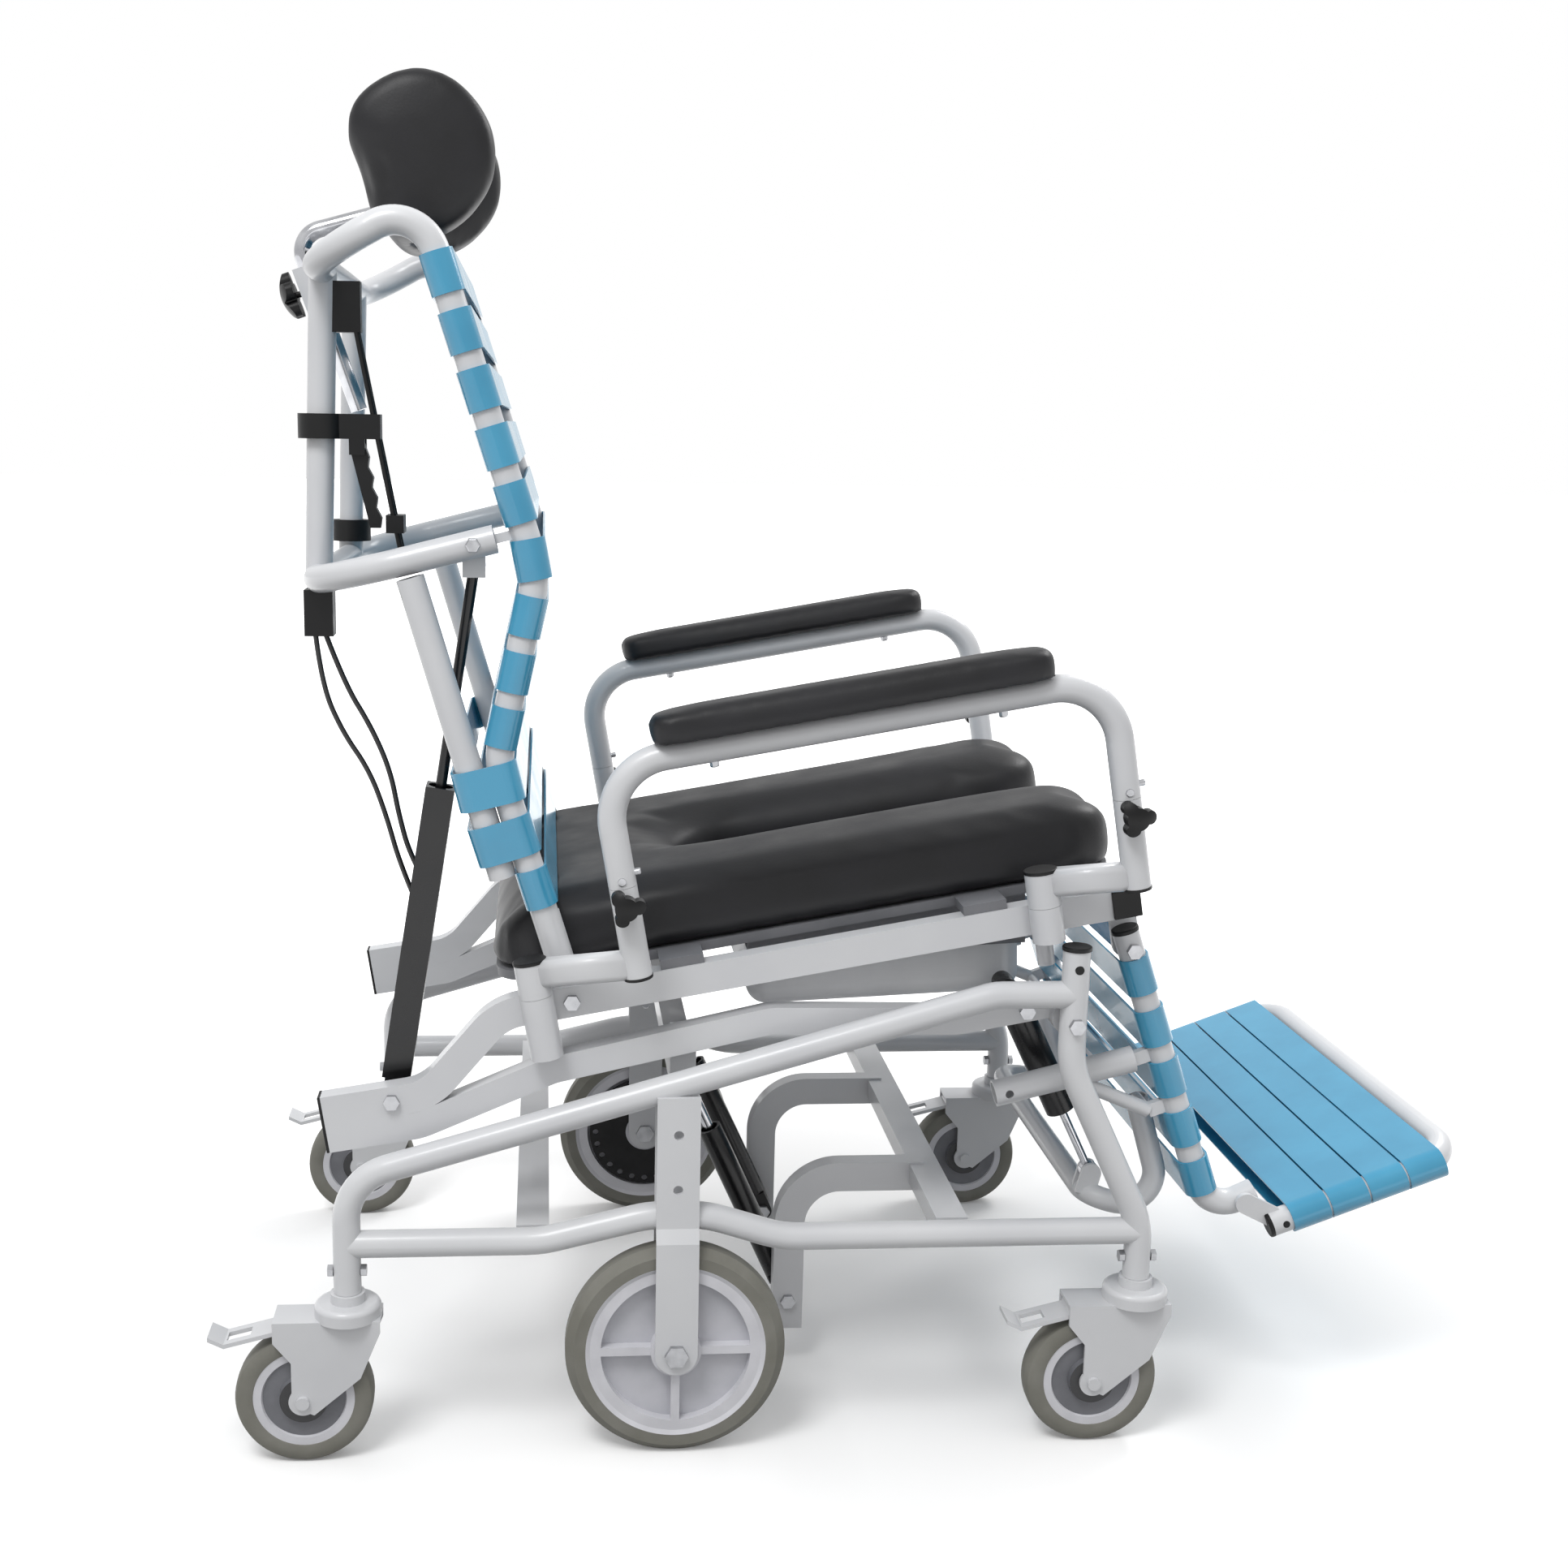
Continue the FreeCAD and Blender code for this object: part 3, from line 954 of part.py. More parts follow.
def push_frame():
    """Upper and lower loops with two push tubes between them, and the socket of the headrest bar."""
    apex, behind = at(S.apex_x, 0, S.apex_z), at(S.loop_x, 0, S.loop_z)
    upper_start = apex + (behind - apex).normalize() * S.apex_tail
    upper, lower = [], []
    for side in SIDES.values():
        y = ACROSS * (side * S.back_half)
        tip, corner = lower_arm(side)
        upper = [upper_start + y, behind + y] if side == RIGHT else upper + [behind + y, upper_start + y]
        lower = [tip, corner] if side == RIGHT else lower + [corner, tip]
    members = [tube(upper, S.tube_od, S.loop_bend), tube(lower, S.tube_od, S.low_bend)]
    for side in SIDES.values():
        y = side * S.push_half
        members.append(tube([at(S.low_x, y, S.low_z), at(S.loop_x, y, S.loop_z)], S.tube_od))
        tip, corner = lower_arm(side)
        toe = tip + (tip - corner).normalize() * S.tongue_length
        tongue = bar([toe, tip], S.tongue_thick, S.tongue_height)
        members.append((tongue, None))
    head = recline_head()
    rod_face = head.y - S.recline_rod / 2 - S.gap
    arm_face = -S.back_half + S.tube_od / 2 - S.weld_sink
    tip, corner = lower_arm(RIGHT)
    arm_z = tip.z + (head.x - tip.x) * (corner.z - tip.z) / (corner.x - tip.x)
    bracket = Part.makeBox(S.eye_dia, rod_face - arm_face, arm_z - head.z + S.eye_dia / 2,
                           at(head.x - S.eye_dia / 2, arm_face, head.z - S.eye_dia / 2))
    stud = Part.makeCylinder(S.bolt_dia / 2, S.recline_rod + 2 * S.gap, at(head.x, rod_face, head.z), ACROSS)
    members.append((bracket.fuse(stud), None))
    block = Part.makeBox(S.socket_size, S.socket_size, S.socket_length,
                         at(-S.socket_size / 2, -S.socket_size / 2, -S.socket_length / 2))
    bore = pin(at(0, 0, 0), S.post_bar_dia + 2 * S.gap, 2 * S.socket_length, UP)
    bore = bore.fuse(pin(at(-S.socket_size / 2, 0, 0), S.knob_stem + 2 * S.gap, S.socket_size, FORWARD))
    for shape in (block, bore):
        shape.Placement = SOCKET
    members.append((block, bore))
    return weld(members)


SOCKET = Placement(at(S.loop_x - S.socket_back, 0, S.socket_z), Rotation(ACROSS, -S.bar_lean))
BAR_AXIS = SOCKET.Rotation.multVec(UP)
side_tube = tube(side_path(), S.tube_od, back_bends())[0]
piece("push_frame", push_frame().cut([side_tube, mirrored(side_tube)]))


def along(wire, distance):
    """Point and direction at a distance along a wire."""
    for edge in wire.Edges:
        if distance <= edge.Length:
            step = edge.getParameterByLength(distance)
            return edge.valueAt(step), edge.tangentAt(step)
        distance -= edge.Length
    last = wire.Edges[-1]
    return last.valueAt(last.LastParameter), last.tangentAt(last.LastParameter)


def bowed_band(path, station, half, brace=0):
    """A band at a station of the right tube's path, with room for the tube's bow and for a brace behind."""
    centre, direction = along(path, station)
    behind = direction.cross(ACROSS)
    ends = [along(path, station + over * S.band_height / 2)[0] for over in (-1, 1)]
    strays = [(end - centre).dot(behind) for end in ends]
    front, rear = min(strays + [0]), max(strays + [brace])
    middle = at(centre.x, 0, centre.z) + behind * ((front + rear) / 2)
    return band(middle, direction, half, S.band_height, rear - front)


def back_bands():
    path = rounded_path(side_path(), back_bends())
    belts = []
    for count in range(int(S.back_band_count)):
        brace = S.brace_gap + S.tube_od if count in BRACED_BANDS else 0
        belts.append(bowed_band(path, S.back_band_first + count * S.back_band_pitch, S.back_half, brace))
    return Part.makeCompound(belts)


BRACED_BANDS = (1, 2)
piece("back_bands", back_bands())


# Headrest: a bent bar in the socket of the push frame, a winged pad and the star knob that clamps the bar
def bar_path():
    top = SOCKET.Base + BAR_AXIS * S.bar_rise
    return [SOCKET.Base - BAR_AXIS * S.bar_tail, top, at(S.bar_end_x, 0, S.bar_end_z)]


# Side outline of the headrest as shares of its depth and height, from the back round over the top
HEADREST_PROFILE = ((-0.49, 0.20), (-0.44, 0.31), (-0.31, 0.41), (-0.15, 0.48), (0.02, 0.5), (0.2, 0.455),
                    (0.36, 0.335), (0.465, 0.18), (0.5, 0), (0.455, -0.19), (0.34, -0.34), (0.17, -0.455),
                    (-0.03, -0.5), (-0.18, -0.495), (-0.28, -0.44), (-0.34, -0.31), (-0.415, -0.06))


def headrest_pad():
    """A rounded block hollowed out in front for the head, which leaves a wing on either side."""
    points = []
    for ahead, high in HEADREST_PROFILE:
        points.append(at(ahead * S.headrest_depth, -S.headrest_half, high * S.headrest_height))
    outline = Part.BSplineCurve()
    outline.interpolate(points, PeriodicFlag=True)
    block = Part.Face(Part.Wire(outline.toShape())).extrude(ACROSS * (2 * S.headrest_half))
    hollow_x = S.headrest_thick - S.headrest_depth / 2 + S.headrest_hollow
    hollow = pin(at(hollow_x, 0, 0), 2 * S.headrest_hollow, 4 * S.headrest_height, UP)
    block = block.cut(hollow)
    ends = [edge for edge in block.Edges if edge.BoundBox.YLength < S.gap]
    block = block.makeFillet(S.headrest_edge, ends)
    block.translate(at(S.headrest_x, 0, S.headrest_z))
    return block.cut(rod(bar_path(), S.post_bar_dia, S.bar_bend))


piece("headrest_bar", rod(bar_path(), S.post_bar_dia, S.bar_bend))
piece("headrest_pad", headrest_pad())
STAR_LOBES = 5
star_turn = SOCKET.Rotation.multiply(Rotation(UP, FORWARD * -1))
star_spot = SOCKET.multVec(at(-S.socket_size / 2, 0, 0))
star = lobed_knob(S.star_dia, S.star_height, STAR_LOBES, (S.socket_size - S.post_bar_dia) / 2)
piece("star_knob", star, Placement(star_spot, star_turn))


# Springs: a cylinder hinged at its foot and a rod hinged at its head, one sliding in the other
def spring_frame(foot, head):
    lean = math.degrees(math.atan2(head.x - foot.x, head.z - foot.z))
    return Placement(foot, Rotation(ACROSS, lean))


def spring_cylinder(outer, bore, length, width):
    """A closed cylinder standing on its eye at the origin."""
    body = Part.makeCylinder(outer / 2, length - S.eye_dia / 2, at(0, 0, S.eye_dia / 2))
    body = body.fuse(pin(at(0, 0, 0), S.eye_dia, width))
    body = body.fuse(Part.makeBox(S.eye_dia, width, S.eye_dia, at(-S.eye_dia / 2, -width / 2, 0)))
    return hollowed(body, bore, length)


def hollowed(body, bore, length):
    """Bore from just above the eye to the mouth, and the eye's hole."""
    body = body.cut(Part.makeCylinder(bore / 2, length, at(0, 0, S.eye_dia)))
    return body.cut(pin(at(0, 0, 0), S.bolt_dia + 2 * S.running_fit, 4 * S.eye_dia)).removeSplitter()


def spring_rod(diameter, length, width):
    """A rod hanging from its eye at the origin."""
    shank = Part.makeCylinder(diameter / 2, length, at(0, 0, -length))
    body = shank.fuse(pin(at(0, 0, 0), S.eye_dia, width))
    return body.cut(pin(at(0, 0, 0), S.bolt_dia + 2 * S.running_fit, 2 * width)).removeSplitter()


def recline_housing():
    """Recline spring's rectangular housing, standing on its eye."""
    depth, width, length = S.recline_depth, S.recline_width, S.recline_length
    body = Part.makeBox(depth, width, length - S.eye_dia / 2, at(-depth / 2, -width / 2, S.eye_dia / 2))
    body = body.fuse(pin(at(0, 0, 0), S.eye_dia, width))
    body = body.fuse(Part.makeBox(S.eye_dia, width, S.eye_dia, at(-S.eye_dia / 2, -width / 2, 0)))
    return hollowed(body, S.recline_tube, length)


recline_frame = spring_frame(recline_foot(), recline_head())
piece("recline_cylinder", recline_housing(), recline_frame)
recline_head_frame = Placement(recline_head(), recline_frame.Rotation)
piece("recline_rod", spring_rod(S.recline_rod, S.recline_rod_length, S.recline_rod), recline_head_frame)

tilt_foot = spring_foot(RIGHT)
tilt_foot.y = -tilt_spring_half()
tilt_frame = spring_frame(tilt_foot, tilt_eye())
tilt_body = spring_cylinder(S.tilt_tube, S.tilt_bore, S.tilt_length, S.tilt_tube)
tilt_body.Placement = tilt_frame
piece("tilt_cylinders", Part.makeCompound([tilt_body, mirrored(tilt_body)]))
tilt_piston = spring_rod(S.tilt_rod, S.tilt_rod_length, S.tilt_rod)
tilt_piston.Placement = Placement(tilt_eye(), tilt_frame.Rotation)
piece("tilt_rods", Part.makeCompound([tilt_piston, mirrored(tilt_piston)]))

lift_foot = at(S.lift_x, -S.lift_half, S.lift_z)
lift_head = at(S.lift_head_x, -S.lift_half, S.lift_head_z)
lift_frame = spring_frame(lift_foot, lift_head)
piece("leg_cylinder", spring_cylinder(S.lift_tube, S.lift_bore, S.lift_length, S.lift_tube), lift_frame)
piece("leg_rod", spring_rod(S.lift_rod, S.lift_rod_length, S.lift_rod),
      Placement(lift_head, lift_frame.Rotation))


# Legrest: two bent side tubes with a lever arm each, the strut that the lift spring pushes, and its bands
LEG = Placement(leg_pivot(RIGHT) + ACROSS * S.leg_half, Rotation(ACROSS, -S.leg_lean))


def on_leg(behind, y, down):
    """A point behind the leg tubes and down along them from the legrest hinge."""
    return LEG.multVec(at(-behind, y, -down))


def leg_stub_way():
    rise = math.radians(S.stub_rise)
    return at(math.cos(rise), 0, math.sin(rise))


def leg_path():
    y = -S.leg_half
    ankle = on_leg(0, y, S.leg_length)
    return [on_leg(0, y, -S.leg_top), ankle, ankle + leg_stub_way() * S.foot_stub]


def foot_pivot(side):
    return on_leg(0, side * S.foot_half, S.leg_length) + leg_stub_way() * S.foot_pivot_out


def tongue(down, y):
    """A flat lug in the gap between two bands, square to the leg tube."""
    return bar([on_leg(0, y, down), on_leg(S.lug_reach, y, down)], S.tongue_thick, S.leg_lug_height)


def arm_end(distance):
    """A point along the lever arm, from behind the leg tube."""
    drop = math.radians(S.leg_arm_drop)
    return on_leg(S.lug_reach, -S.leg_half, S.leg_arm_at) - at(math.cos(drop), 0, math.sin(drop)) * distance


def leg_side():
    y = -S.leg_half
    arm = tube([arm_end(0), arm_end(S.leg_arm_length)], S.tube_od)
    brace = rod([on_leg(S.lug_reach, y, S.leg_brace_at), arm_end(S.leg_arm_length / 2)], S.leg_brace_dia)
    frame = weld([tube(leg_path(), S.tube_od, S.leg_bend), (tongue(S.leg_arm_at, y), None), arm,
                  (tongue(S.leg_brace_at, y), None), (brace, None)])
    hole = S.bolt_dia + 2 * S.running_fit
    for centre in (leg_pivot(RIGHT), foot_pivot(RIGHT), arm_end(S.leg_arm_length - S.tube_od / 2)):
        frame = frame.cut(pin(at(centre.x, y, centre.z), hole, 2 * S.tube_od))
    return frame


def leg_strut():
    """A bent tube between the two leg sides, with the lugs that the lift spring's rod pushes."""
    route = []
    for side in SIDES.values():
        y = side * S.strut_half
        top = on_leg(S.lug_reach, y, S.leg_brace_at)
        half = [top, at(S.strut_toe_x, y, S.strut_toe_z), at(S.strut_heel_x, y, S.strut_heel_z)]
        route = half if side == RIGHT else route + half[::-1]
    members = [tube(route, S.strut_od, S.strut_bend)]
    for side in SIDES.values():
        top = on_leg(S.lug_reach, side * S.strut_half, S.leg_brace_at)
        inner_face = side * (S.leg_half - S.leg_brace_dia / 2 - S.gap)
        members.append((rod([top, at(top.x, inner_face, top.z)], S.strut_pin), None))
        start = side * (S.lift_rod / 2 + S.gap)
        middle = lift_head + ACROSS * (start + side * S.lug_thick / 2)
        cheek = bar([at(S.strut_heel_x, middle.y, S.strut_heel_z), middle], S.lug_thick, S.eye_dia)
        members.append((cheek.fuse(pin(middle, S.eye_dia, S.lug_thick)), None))
    strut = weld(members)
    stud = pin(lift_head, S.bolt_dia, S.lift_rod + 2 * (S.gap + S.lug_thick))
    return Part.makeCompound(strut.cut(stud).Solids + [stud])


def leg_bands():
    path = rounded_path(leg_path(), S.leg_bend)
    belts = []
    for count in range(int(S.leg_band_count)):
        station = S.leg_top + S.leg_band_first + count * S.leg_band_pitch
        belts.append(bowed_band(path, station, S.leg_half))
    return Part.makeCompound(belts)


pair("leg_side", leg_side())
piece("leg_strut", leg_strut())
piece("leg_bands", leg_bands())


# Footrest: a looped tube on two hinge lugs with studs, and its bands
FOOT = Placement(foot_pivot(RIGHT) + ACROSS * S.foot_half, Rotation(ACROSS, -S.foot_rise))


def foot_lug():
    """Right hinge lug outside the leg stub, with the stud that turns in it."""
    outside = -S.leg_half - S.tube_od / 2 - S.gap - S.plate_thick
    eye = Part.makeCylinder(S.eye_dia / 2, S.plate_thick, at(0, outside, 0), ACROSS)
    heel = at(S.foot_rear + S.eye_dia / 2, outside, -S.foot_drop)
    reach = Vector(heel.x, 0, heel.z)
    lean = math.degrees(math.atan2(reach.x, reach.z))
    arm = Part.makeBox(S.eye_dia, S.plate_thick, reach.Length, at(-S.eye_dia / 2, 0, 0))
    arm.Placement = Placement(at(0, outside, 0), Rotation(ACROSS, lean))
    stud = Part.makeCylinder(S.bolt_dia / 2, S.plate_thick + S.tube_od + S.gap, at(0, outside, 0), ACROSS)
    return eye.fuse(arm).fuse(stud).removeSplitter()


def foot_frame():
    route = []
    for side in SIDES.values():
        half = [at(S.foot_rear, side * S.foot_half, -S.foot_drop),
                at(S.foot_rear + S.foot_length, side * S.foot_half, -S.foot_drop)]
        route = half if side == RIGHT else route + half[::-1]
    lug = foot_lug()
    return weld([tube(route, S.tube_od, S.foot_bend), (lug, None), (mirrored(lug), None)])


def foot_bands():
    belts = []
    for count in range(int(S.foot_band_count)):
        spot = at(S.foot_band_first + (count + 0.5) * S.foot_band_pitch, 0, -S.foot_drop)
        belts.append(band(spot, FORWARD, S.foot_half, S.foot_band_height))
    return Part.makeCompound(belts)


piece("foot_frame", foot_frame(), FOOT)
piece("foot_bands", foot_bands(), FOOT)


# Release lever with its clamp, the clips with the held cables, and the two cords that hang from the grip
def push_x(z):
    """Middle of the push tubes at a height."""
    return S.low_x + (S.loop_x - S.low_x) * (z - S.low_z) / (S.loop_z - S.low_z)


def collar(side, z):
    """A plastic collar round a push tube."""
    return pin(at(push_x(z), side * S.push_half, z), S.tube_od + S.clip_width, S.clamp_height, UP)


def box_between(low, high):
    return Part.makeBox(high.x - low.x, high.y - low.y, high.z - low.z, low)


def grip():
    """Cable grip under the lower loop."""
    half, y = S.grip_width / 2, -S.push_half
    top = S.low_z - S.tube_od / 2 + S.weld_sink
    return box_between(at(S.low_x - half, y - half, top - S.grip_drop), at(S.low_x + half, y + half, top))


def cable_clips():
    y = -S.push_half
    half = S.lever_width / 2 + S.gap
    foot_z = S.clamp_z - S.clamp_height / 2
    clamp = collar(RIGHT, S.clamp_z)
    clamp = clamp.fuse(box_between(at(push_x(S.clamp_z), y - half - S.lug_thick, foot_z),
                                   at(S.clamp_front_x, y + half + S.lug_thick, foot_z + S.clamp_height)))
    for start in (y - half - S.lug_thick, y + half):
        reach = S.lever_width / 2
        clamp = clamp.fuse(box_between(at(S.lever_x - reach, start, S.lever_z - reach),
                                       at(S.lever_x + reach, start + S.lug_thick, foot_z)))
    clamp = clamp.fuse(pin(at(S.lever_x, y, S.lever_z), S.lever_pin, 2 * half))
    wide = S.clip_width / 2
    top_clip = box_between(at(push_x(S.clip_z), y - wide, S.clip_z - S.clip_height / 2),
                           at(S.clip_x + wide, y + wide, S.clip_z + S.clip_height / 2))
    low_clip = box_between(at(S.clip_low_x - wide, y - S.clip_width, S.clip_low_z - wide),
                           at(S.clip_low_x + wide, y + S.clip_width, S.clip_low_z + wide))
    parts = [clamp, collar(LEFT, S.far_clamp_z), top_clip, low_clip, grip()]
    for side in SIDES.values():
        route = [at(S.clip_x, y + side * S.cable_dia, S.clip_z),
                 at(S.clip_low_x, y + side * 2 * S.cable_dia, S.clip_low_z),
                 at(S.cable_end_x, y + side * 2 * S.cable_dia, S.cable_end_z)]
        parts.append(rod(route, S.cable_dia, S.cable_bend))
    members = [(part, None) for part in parts]
    return Part.makeCompound([solid.cut(frame_skin()) for solid in weld(members).Solids])


def frame_skin():
    """Outer skin of the push tubes and of the lower loop, which the plastic pieces are fitted to."""
    skins = []
    for side in SIDES.values():
        y = side * S.push_half
        skins.append(rod([at(S.low_x, y, S.low_z), at(S.loop_x, y, S.loop_z)], S.tube_od))
    skins.append(rod([at(S.low_x, -S.back_half, S.low_z), at(S.low_x, S.back_half, S.low_z)], S.tube_od))
    return skins


def release_lever():
    """A finger grip hanging from its eye, wavy in front."""
    half = S.lever_width / 2
    waves = 4
    step = S.lever_length / waves
    front = [(half, 0)]
    for count in range(waves):
        front += [(half + S.lever_lean * (count + 0.5) + 1.5, -(count + 0.5) * step),
                  (half + S.lever_lean * (count + 1) - 1.5, -(count + 1) * step)]
    back = [(S.lever_lean * waves - half / 2, -S.lever_length), (-half, 0)]
    ring = [at(x, -half, z) for x, z in front + back]
    grip = Part.Face(Part.makePolygon(ring + ring[:1])).extrude(ACROSS * S.lever_width)
    grip = grip.fuse(pin(at(0, 0, 0), S.lever_width, S.lever_width))
    return grip.cut(pin(at(0, 0, 0), S.lever_pin + 2 * S.running_fit, 2 * S.lever_width)).removeSplitter()


piece("cable_clips", cable_clips())
piece("release_lever", release_lever(), Placement(at(S.lever_x, -S.push_half, S.lever_z), Rotation()))

# Route points of the two hanging cords, from the grip under the lower loop to beside the recline housing
CORDS = [
    [(-501, -149, 743), (-496, -152, 697), (-478, -158, 655), (-453, -166, 620), (-437, -175, 578),
     (-425, -183, 535), (-409, -189, 498)],
    [(-493, -141, 743), (-476, -146, 697), (-452, -154, 659), (-434, -163, 619), (-426, -172, 578),
     (-415, -180, 540), (-396, -187, 508)],
]


CORD_EASE = 0.45


def hanging_cord(points):
    """Straight runs with tangent arcs, each as wide as its shorter run allows, from the grip's underside."""
    radii = []
    for before, corner, after in zip(points, points[1:], points[2:]):
        half_turn = (math.pi - (before - corner).getAngle(after - corner)) / 2
        shorter = min((before - corner).Length, (after - corner).Length)
        radii.append(CORD_EASE * shorter / math.tan(half_turn))
    cord = rod(points, S.cable_dia, radii)
    length = rounded_path(points, radii).Length
    print("cord", round(length, 1), "radii", [round(radius, 1) for radius in radii])
    return cord.cut(grip())


piece("release_cords", Part.makeCompound([hanging_cord([at(*spot) for spot in route]) for route in CORDS]))
doc.recompute()

# Check every piece, then write one file for each
os.makedirs("parts", exist_ok=True)
for item in doc.Objects:
    if "Invalid" in item.State or "Error" in item.State:
        raise RuntimeError("%s has the state %s" % (item.Label, item.State))
NODES = [item for item in doc.Objects if item.TypeId in ("Part::Feature", "PartDesign::Body")]
for item in NODES:
    if item.Shape.isNull() or not item.Shape.isValid():
        raise RuntimeError("%s has no valid shape" % item.Label)
for item in NODES:
    item.Shape.exportStep("parts/%s.step" % item.Label)
print(len(NODES), "pieces written")
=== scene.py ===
import math
import bpy
from mathutils import Matrix, Vector


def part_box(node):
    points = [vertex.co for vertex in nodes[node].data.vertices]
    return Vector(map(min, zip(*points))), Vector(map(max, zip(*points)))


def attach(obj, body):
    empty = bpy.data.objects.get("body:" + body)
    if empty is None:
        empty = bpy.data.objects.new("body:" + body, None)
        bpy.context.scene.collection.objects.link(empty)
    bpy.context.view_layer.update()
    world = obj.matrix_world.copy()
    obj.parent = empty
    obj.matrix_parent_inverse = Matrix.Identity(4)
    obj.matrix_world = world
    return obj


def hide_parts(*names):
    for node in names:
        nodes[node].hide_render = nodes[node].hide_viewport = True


# Tilting shower commode chair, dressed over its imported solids. X runs forward, Y to the chair's left and Z up,
# in metres. The sections follow the chair as it is put together, from the base and its wheels to the footrest.
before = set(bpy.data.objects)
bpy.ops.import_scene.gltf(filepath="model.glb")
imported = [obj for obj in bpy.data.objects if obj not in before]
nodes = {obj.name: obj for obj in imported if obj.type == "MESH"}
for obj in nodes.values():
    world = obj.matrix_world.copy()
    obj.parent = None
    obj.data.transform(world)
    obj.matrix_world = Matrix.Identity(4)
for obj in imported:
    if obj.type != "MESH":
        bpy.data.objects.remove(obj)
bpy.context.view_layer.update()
scene = bpy.context.scene
scene.view_settings.view_transform = "Standard"

# Base frame: a bent upper tube and a lower rail on each side, joined by two cross tubes.
# It is round and rectangular steel tube, cut, bent, welded and then powder coated in light grey, and the
# wheels, the seat frame and the springs all bolt to it.
SIDES = {"right": -1, "left": 1}
MM = 0.001
# Noise lies about 0.5: a finish runs from its one end to its other between these values.
COLOUR_SPAN, GLOSS_SPAN = (0.35, 0.65), (0.3, 0.7)
DRIFT_DETAIL, RELIEF_STRENGTH = 5.0, 0.35


# Colours are written as sRGB hex codes, and the shader takes linear values.
def linear(code):
    values = []
    for place in (0, 2, 4):
        part = int(code[place:place + 2], 16) / 255
        values.append(part / 12.92 if part <= 0.04045 else ((part + 0.055) / 1.055) ** 2.4)
    return (*values, 1)


# Adds one shader node with its settings, linked from earlier ones.
def add_node(tree, kind, links=(), **settings):
    node = tree.nodes.new(kind)
    for key, value in settings.items():
        node.inputs[key.replace("_", " ")].default_value = value
    for source, target in links:
        tree.links.new(source, node.inputs[target])
    return node


# A surface whose colour and gloss drift over patches some millimetres wide, as making and use leave them.
def surface(name, pale, dark, rough, patch, metal=0.0, coat=0.0, specular=0.5):
    material = bpy.data.materials.new(name)
    material.use_nodes = True
    tree = material.node_tree
    shader = tree.nodes["Principled BSDF"]
    shader.inputs["Metallic"].default_value = metal
    shader.inputs["Coat Weight"].default_value = coat
    shader.inputs["Specular IOR Level"].default_value = specular
    place = add_node(tree, "ShaderNodeTexCoord")
    drift = add_node(tree, "ShaderNodeTexNoise", [(place.outputs["Object"], "Vector")],
                     Scale=1 / (patch * MM), Detail=DRIFT_DETAIL)
    shade = add_node(tree, "ShaderNodeValToRGB", [(drift.outputs["Fac"], "Fac")])
    for stop, spot, code in zip(shade.color_ramp.elements, COLOUR_SPAN, (dark, pale)):
        stop.position = spot
        stop.color = linear(code)
    sheen = add_node(tree, "ShaderNodeMapRange", [(drift.outputs["Fac"], "Value")],
                     From_Min=GLOSS_SPAN[0], From_Max=GLOSS_SPAN[1], To_Min=rough[0], To_Max=rough[1])
    tree.links.new(shade.outputs["Color"], shader.inputs["Base Color"])
    tree.links.new(sheen.outputs["Result"], shader.inputs["Roughness"])
    return material


# Fine relief on a surface: bumps so many millimetres apart and so many high.
def relief(material, apart, high, detail=3.0):
    tree = material.node_tree
    place = add_node(tree, "ShaderNodeTexCoord")
    bumps = add_node(tree, "ShaderNodeTexNoise", [(place.outputs["Object"], "Vector")],
                     Scale=1 / (apart * MM), Detail=detail)
    bump = add_node(tree, "ShaderNodeBump", [(bumps.outputs["Fac"], "Height")],
                    Strength=RELIEF_STRENGTH, Distance=high * MM)
    tree.links.new(bump.outputs["Normal"], tree.nodes["Principled BSDF"].inputs["Normal"])
    return material


# Puts one finish on whole solids of the frame.
def finish(material, *names):
    for name in names:
        mesh = nodes[name].data
        mesh.materials.clear()
        mesh.materials.append(material)


# Polyester powder baked on steel: a half-gloss film whose faint orange peel, about 1.1 mm from crest to crest,
# breaks up the highlight along each tube. Handling and cleaning leave slow drifts in it, some 140 mm wide.
paint = relief(surface("light_grey_powder_coat", "CDCED0", "C5C6C9", (0.3, 0.4), 143, coat=0.2), 1.1, 0.08)
finish(paint, "base_cross_front", "base_cross_rear", "base_side_right", "base_side_left")

# Base fittings: zinc-plated hexagon bolts through the tubes, and black plugs pressed into the open tube ends.
# The uprights keep one spare bolt hole near the top; a thin black disc on its rim is painted shade for it.
# Plated steel: a bright grey metal, dulled in patches of about 11 mm where a spanner and water have been.
zinc = surface("zinc_plated_steel", "B2B3B6", "9C9DA0", (0.26, 0.42), 11, metal=0.8)
# Moulded nylon: near black and half matt. Its spark-eroded grain, about 0.6 mm, spreads the highlight.
nylon = relief(surface("black_moulded_nylon", "121213", "0C0C0D", (0.36, 0.5), 25, specular=0.22), 0.62, 0.1)
# The far edge of a small piece is rounded over the first share of its lesser size, and the middle of the
# rounding stands in from the corner by the second share of that.
STUD_EASE, STUD_MIDDLE = 0.35, 0.3
finish(zinc, "base_bolts")
finish(nylon, "base_tube_caps")


# Hangs a new small piece on a body of the frame.
def add_piece(name, body, mesh, material):
    mesh.materials.append(material)
    item = bpy.data.objects.new(name, mesh)
    scene.collection.objects.link(item)
    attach(item, body)
    return item


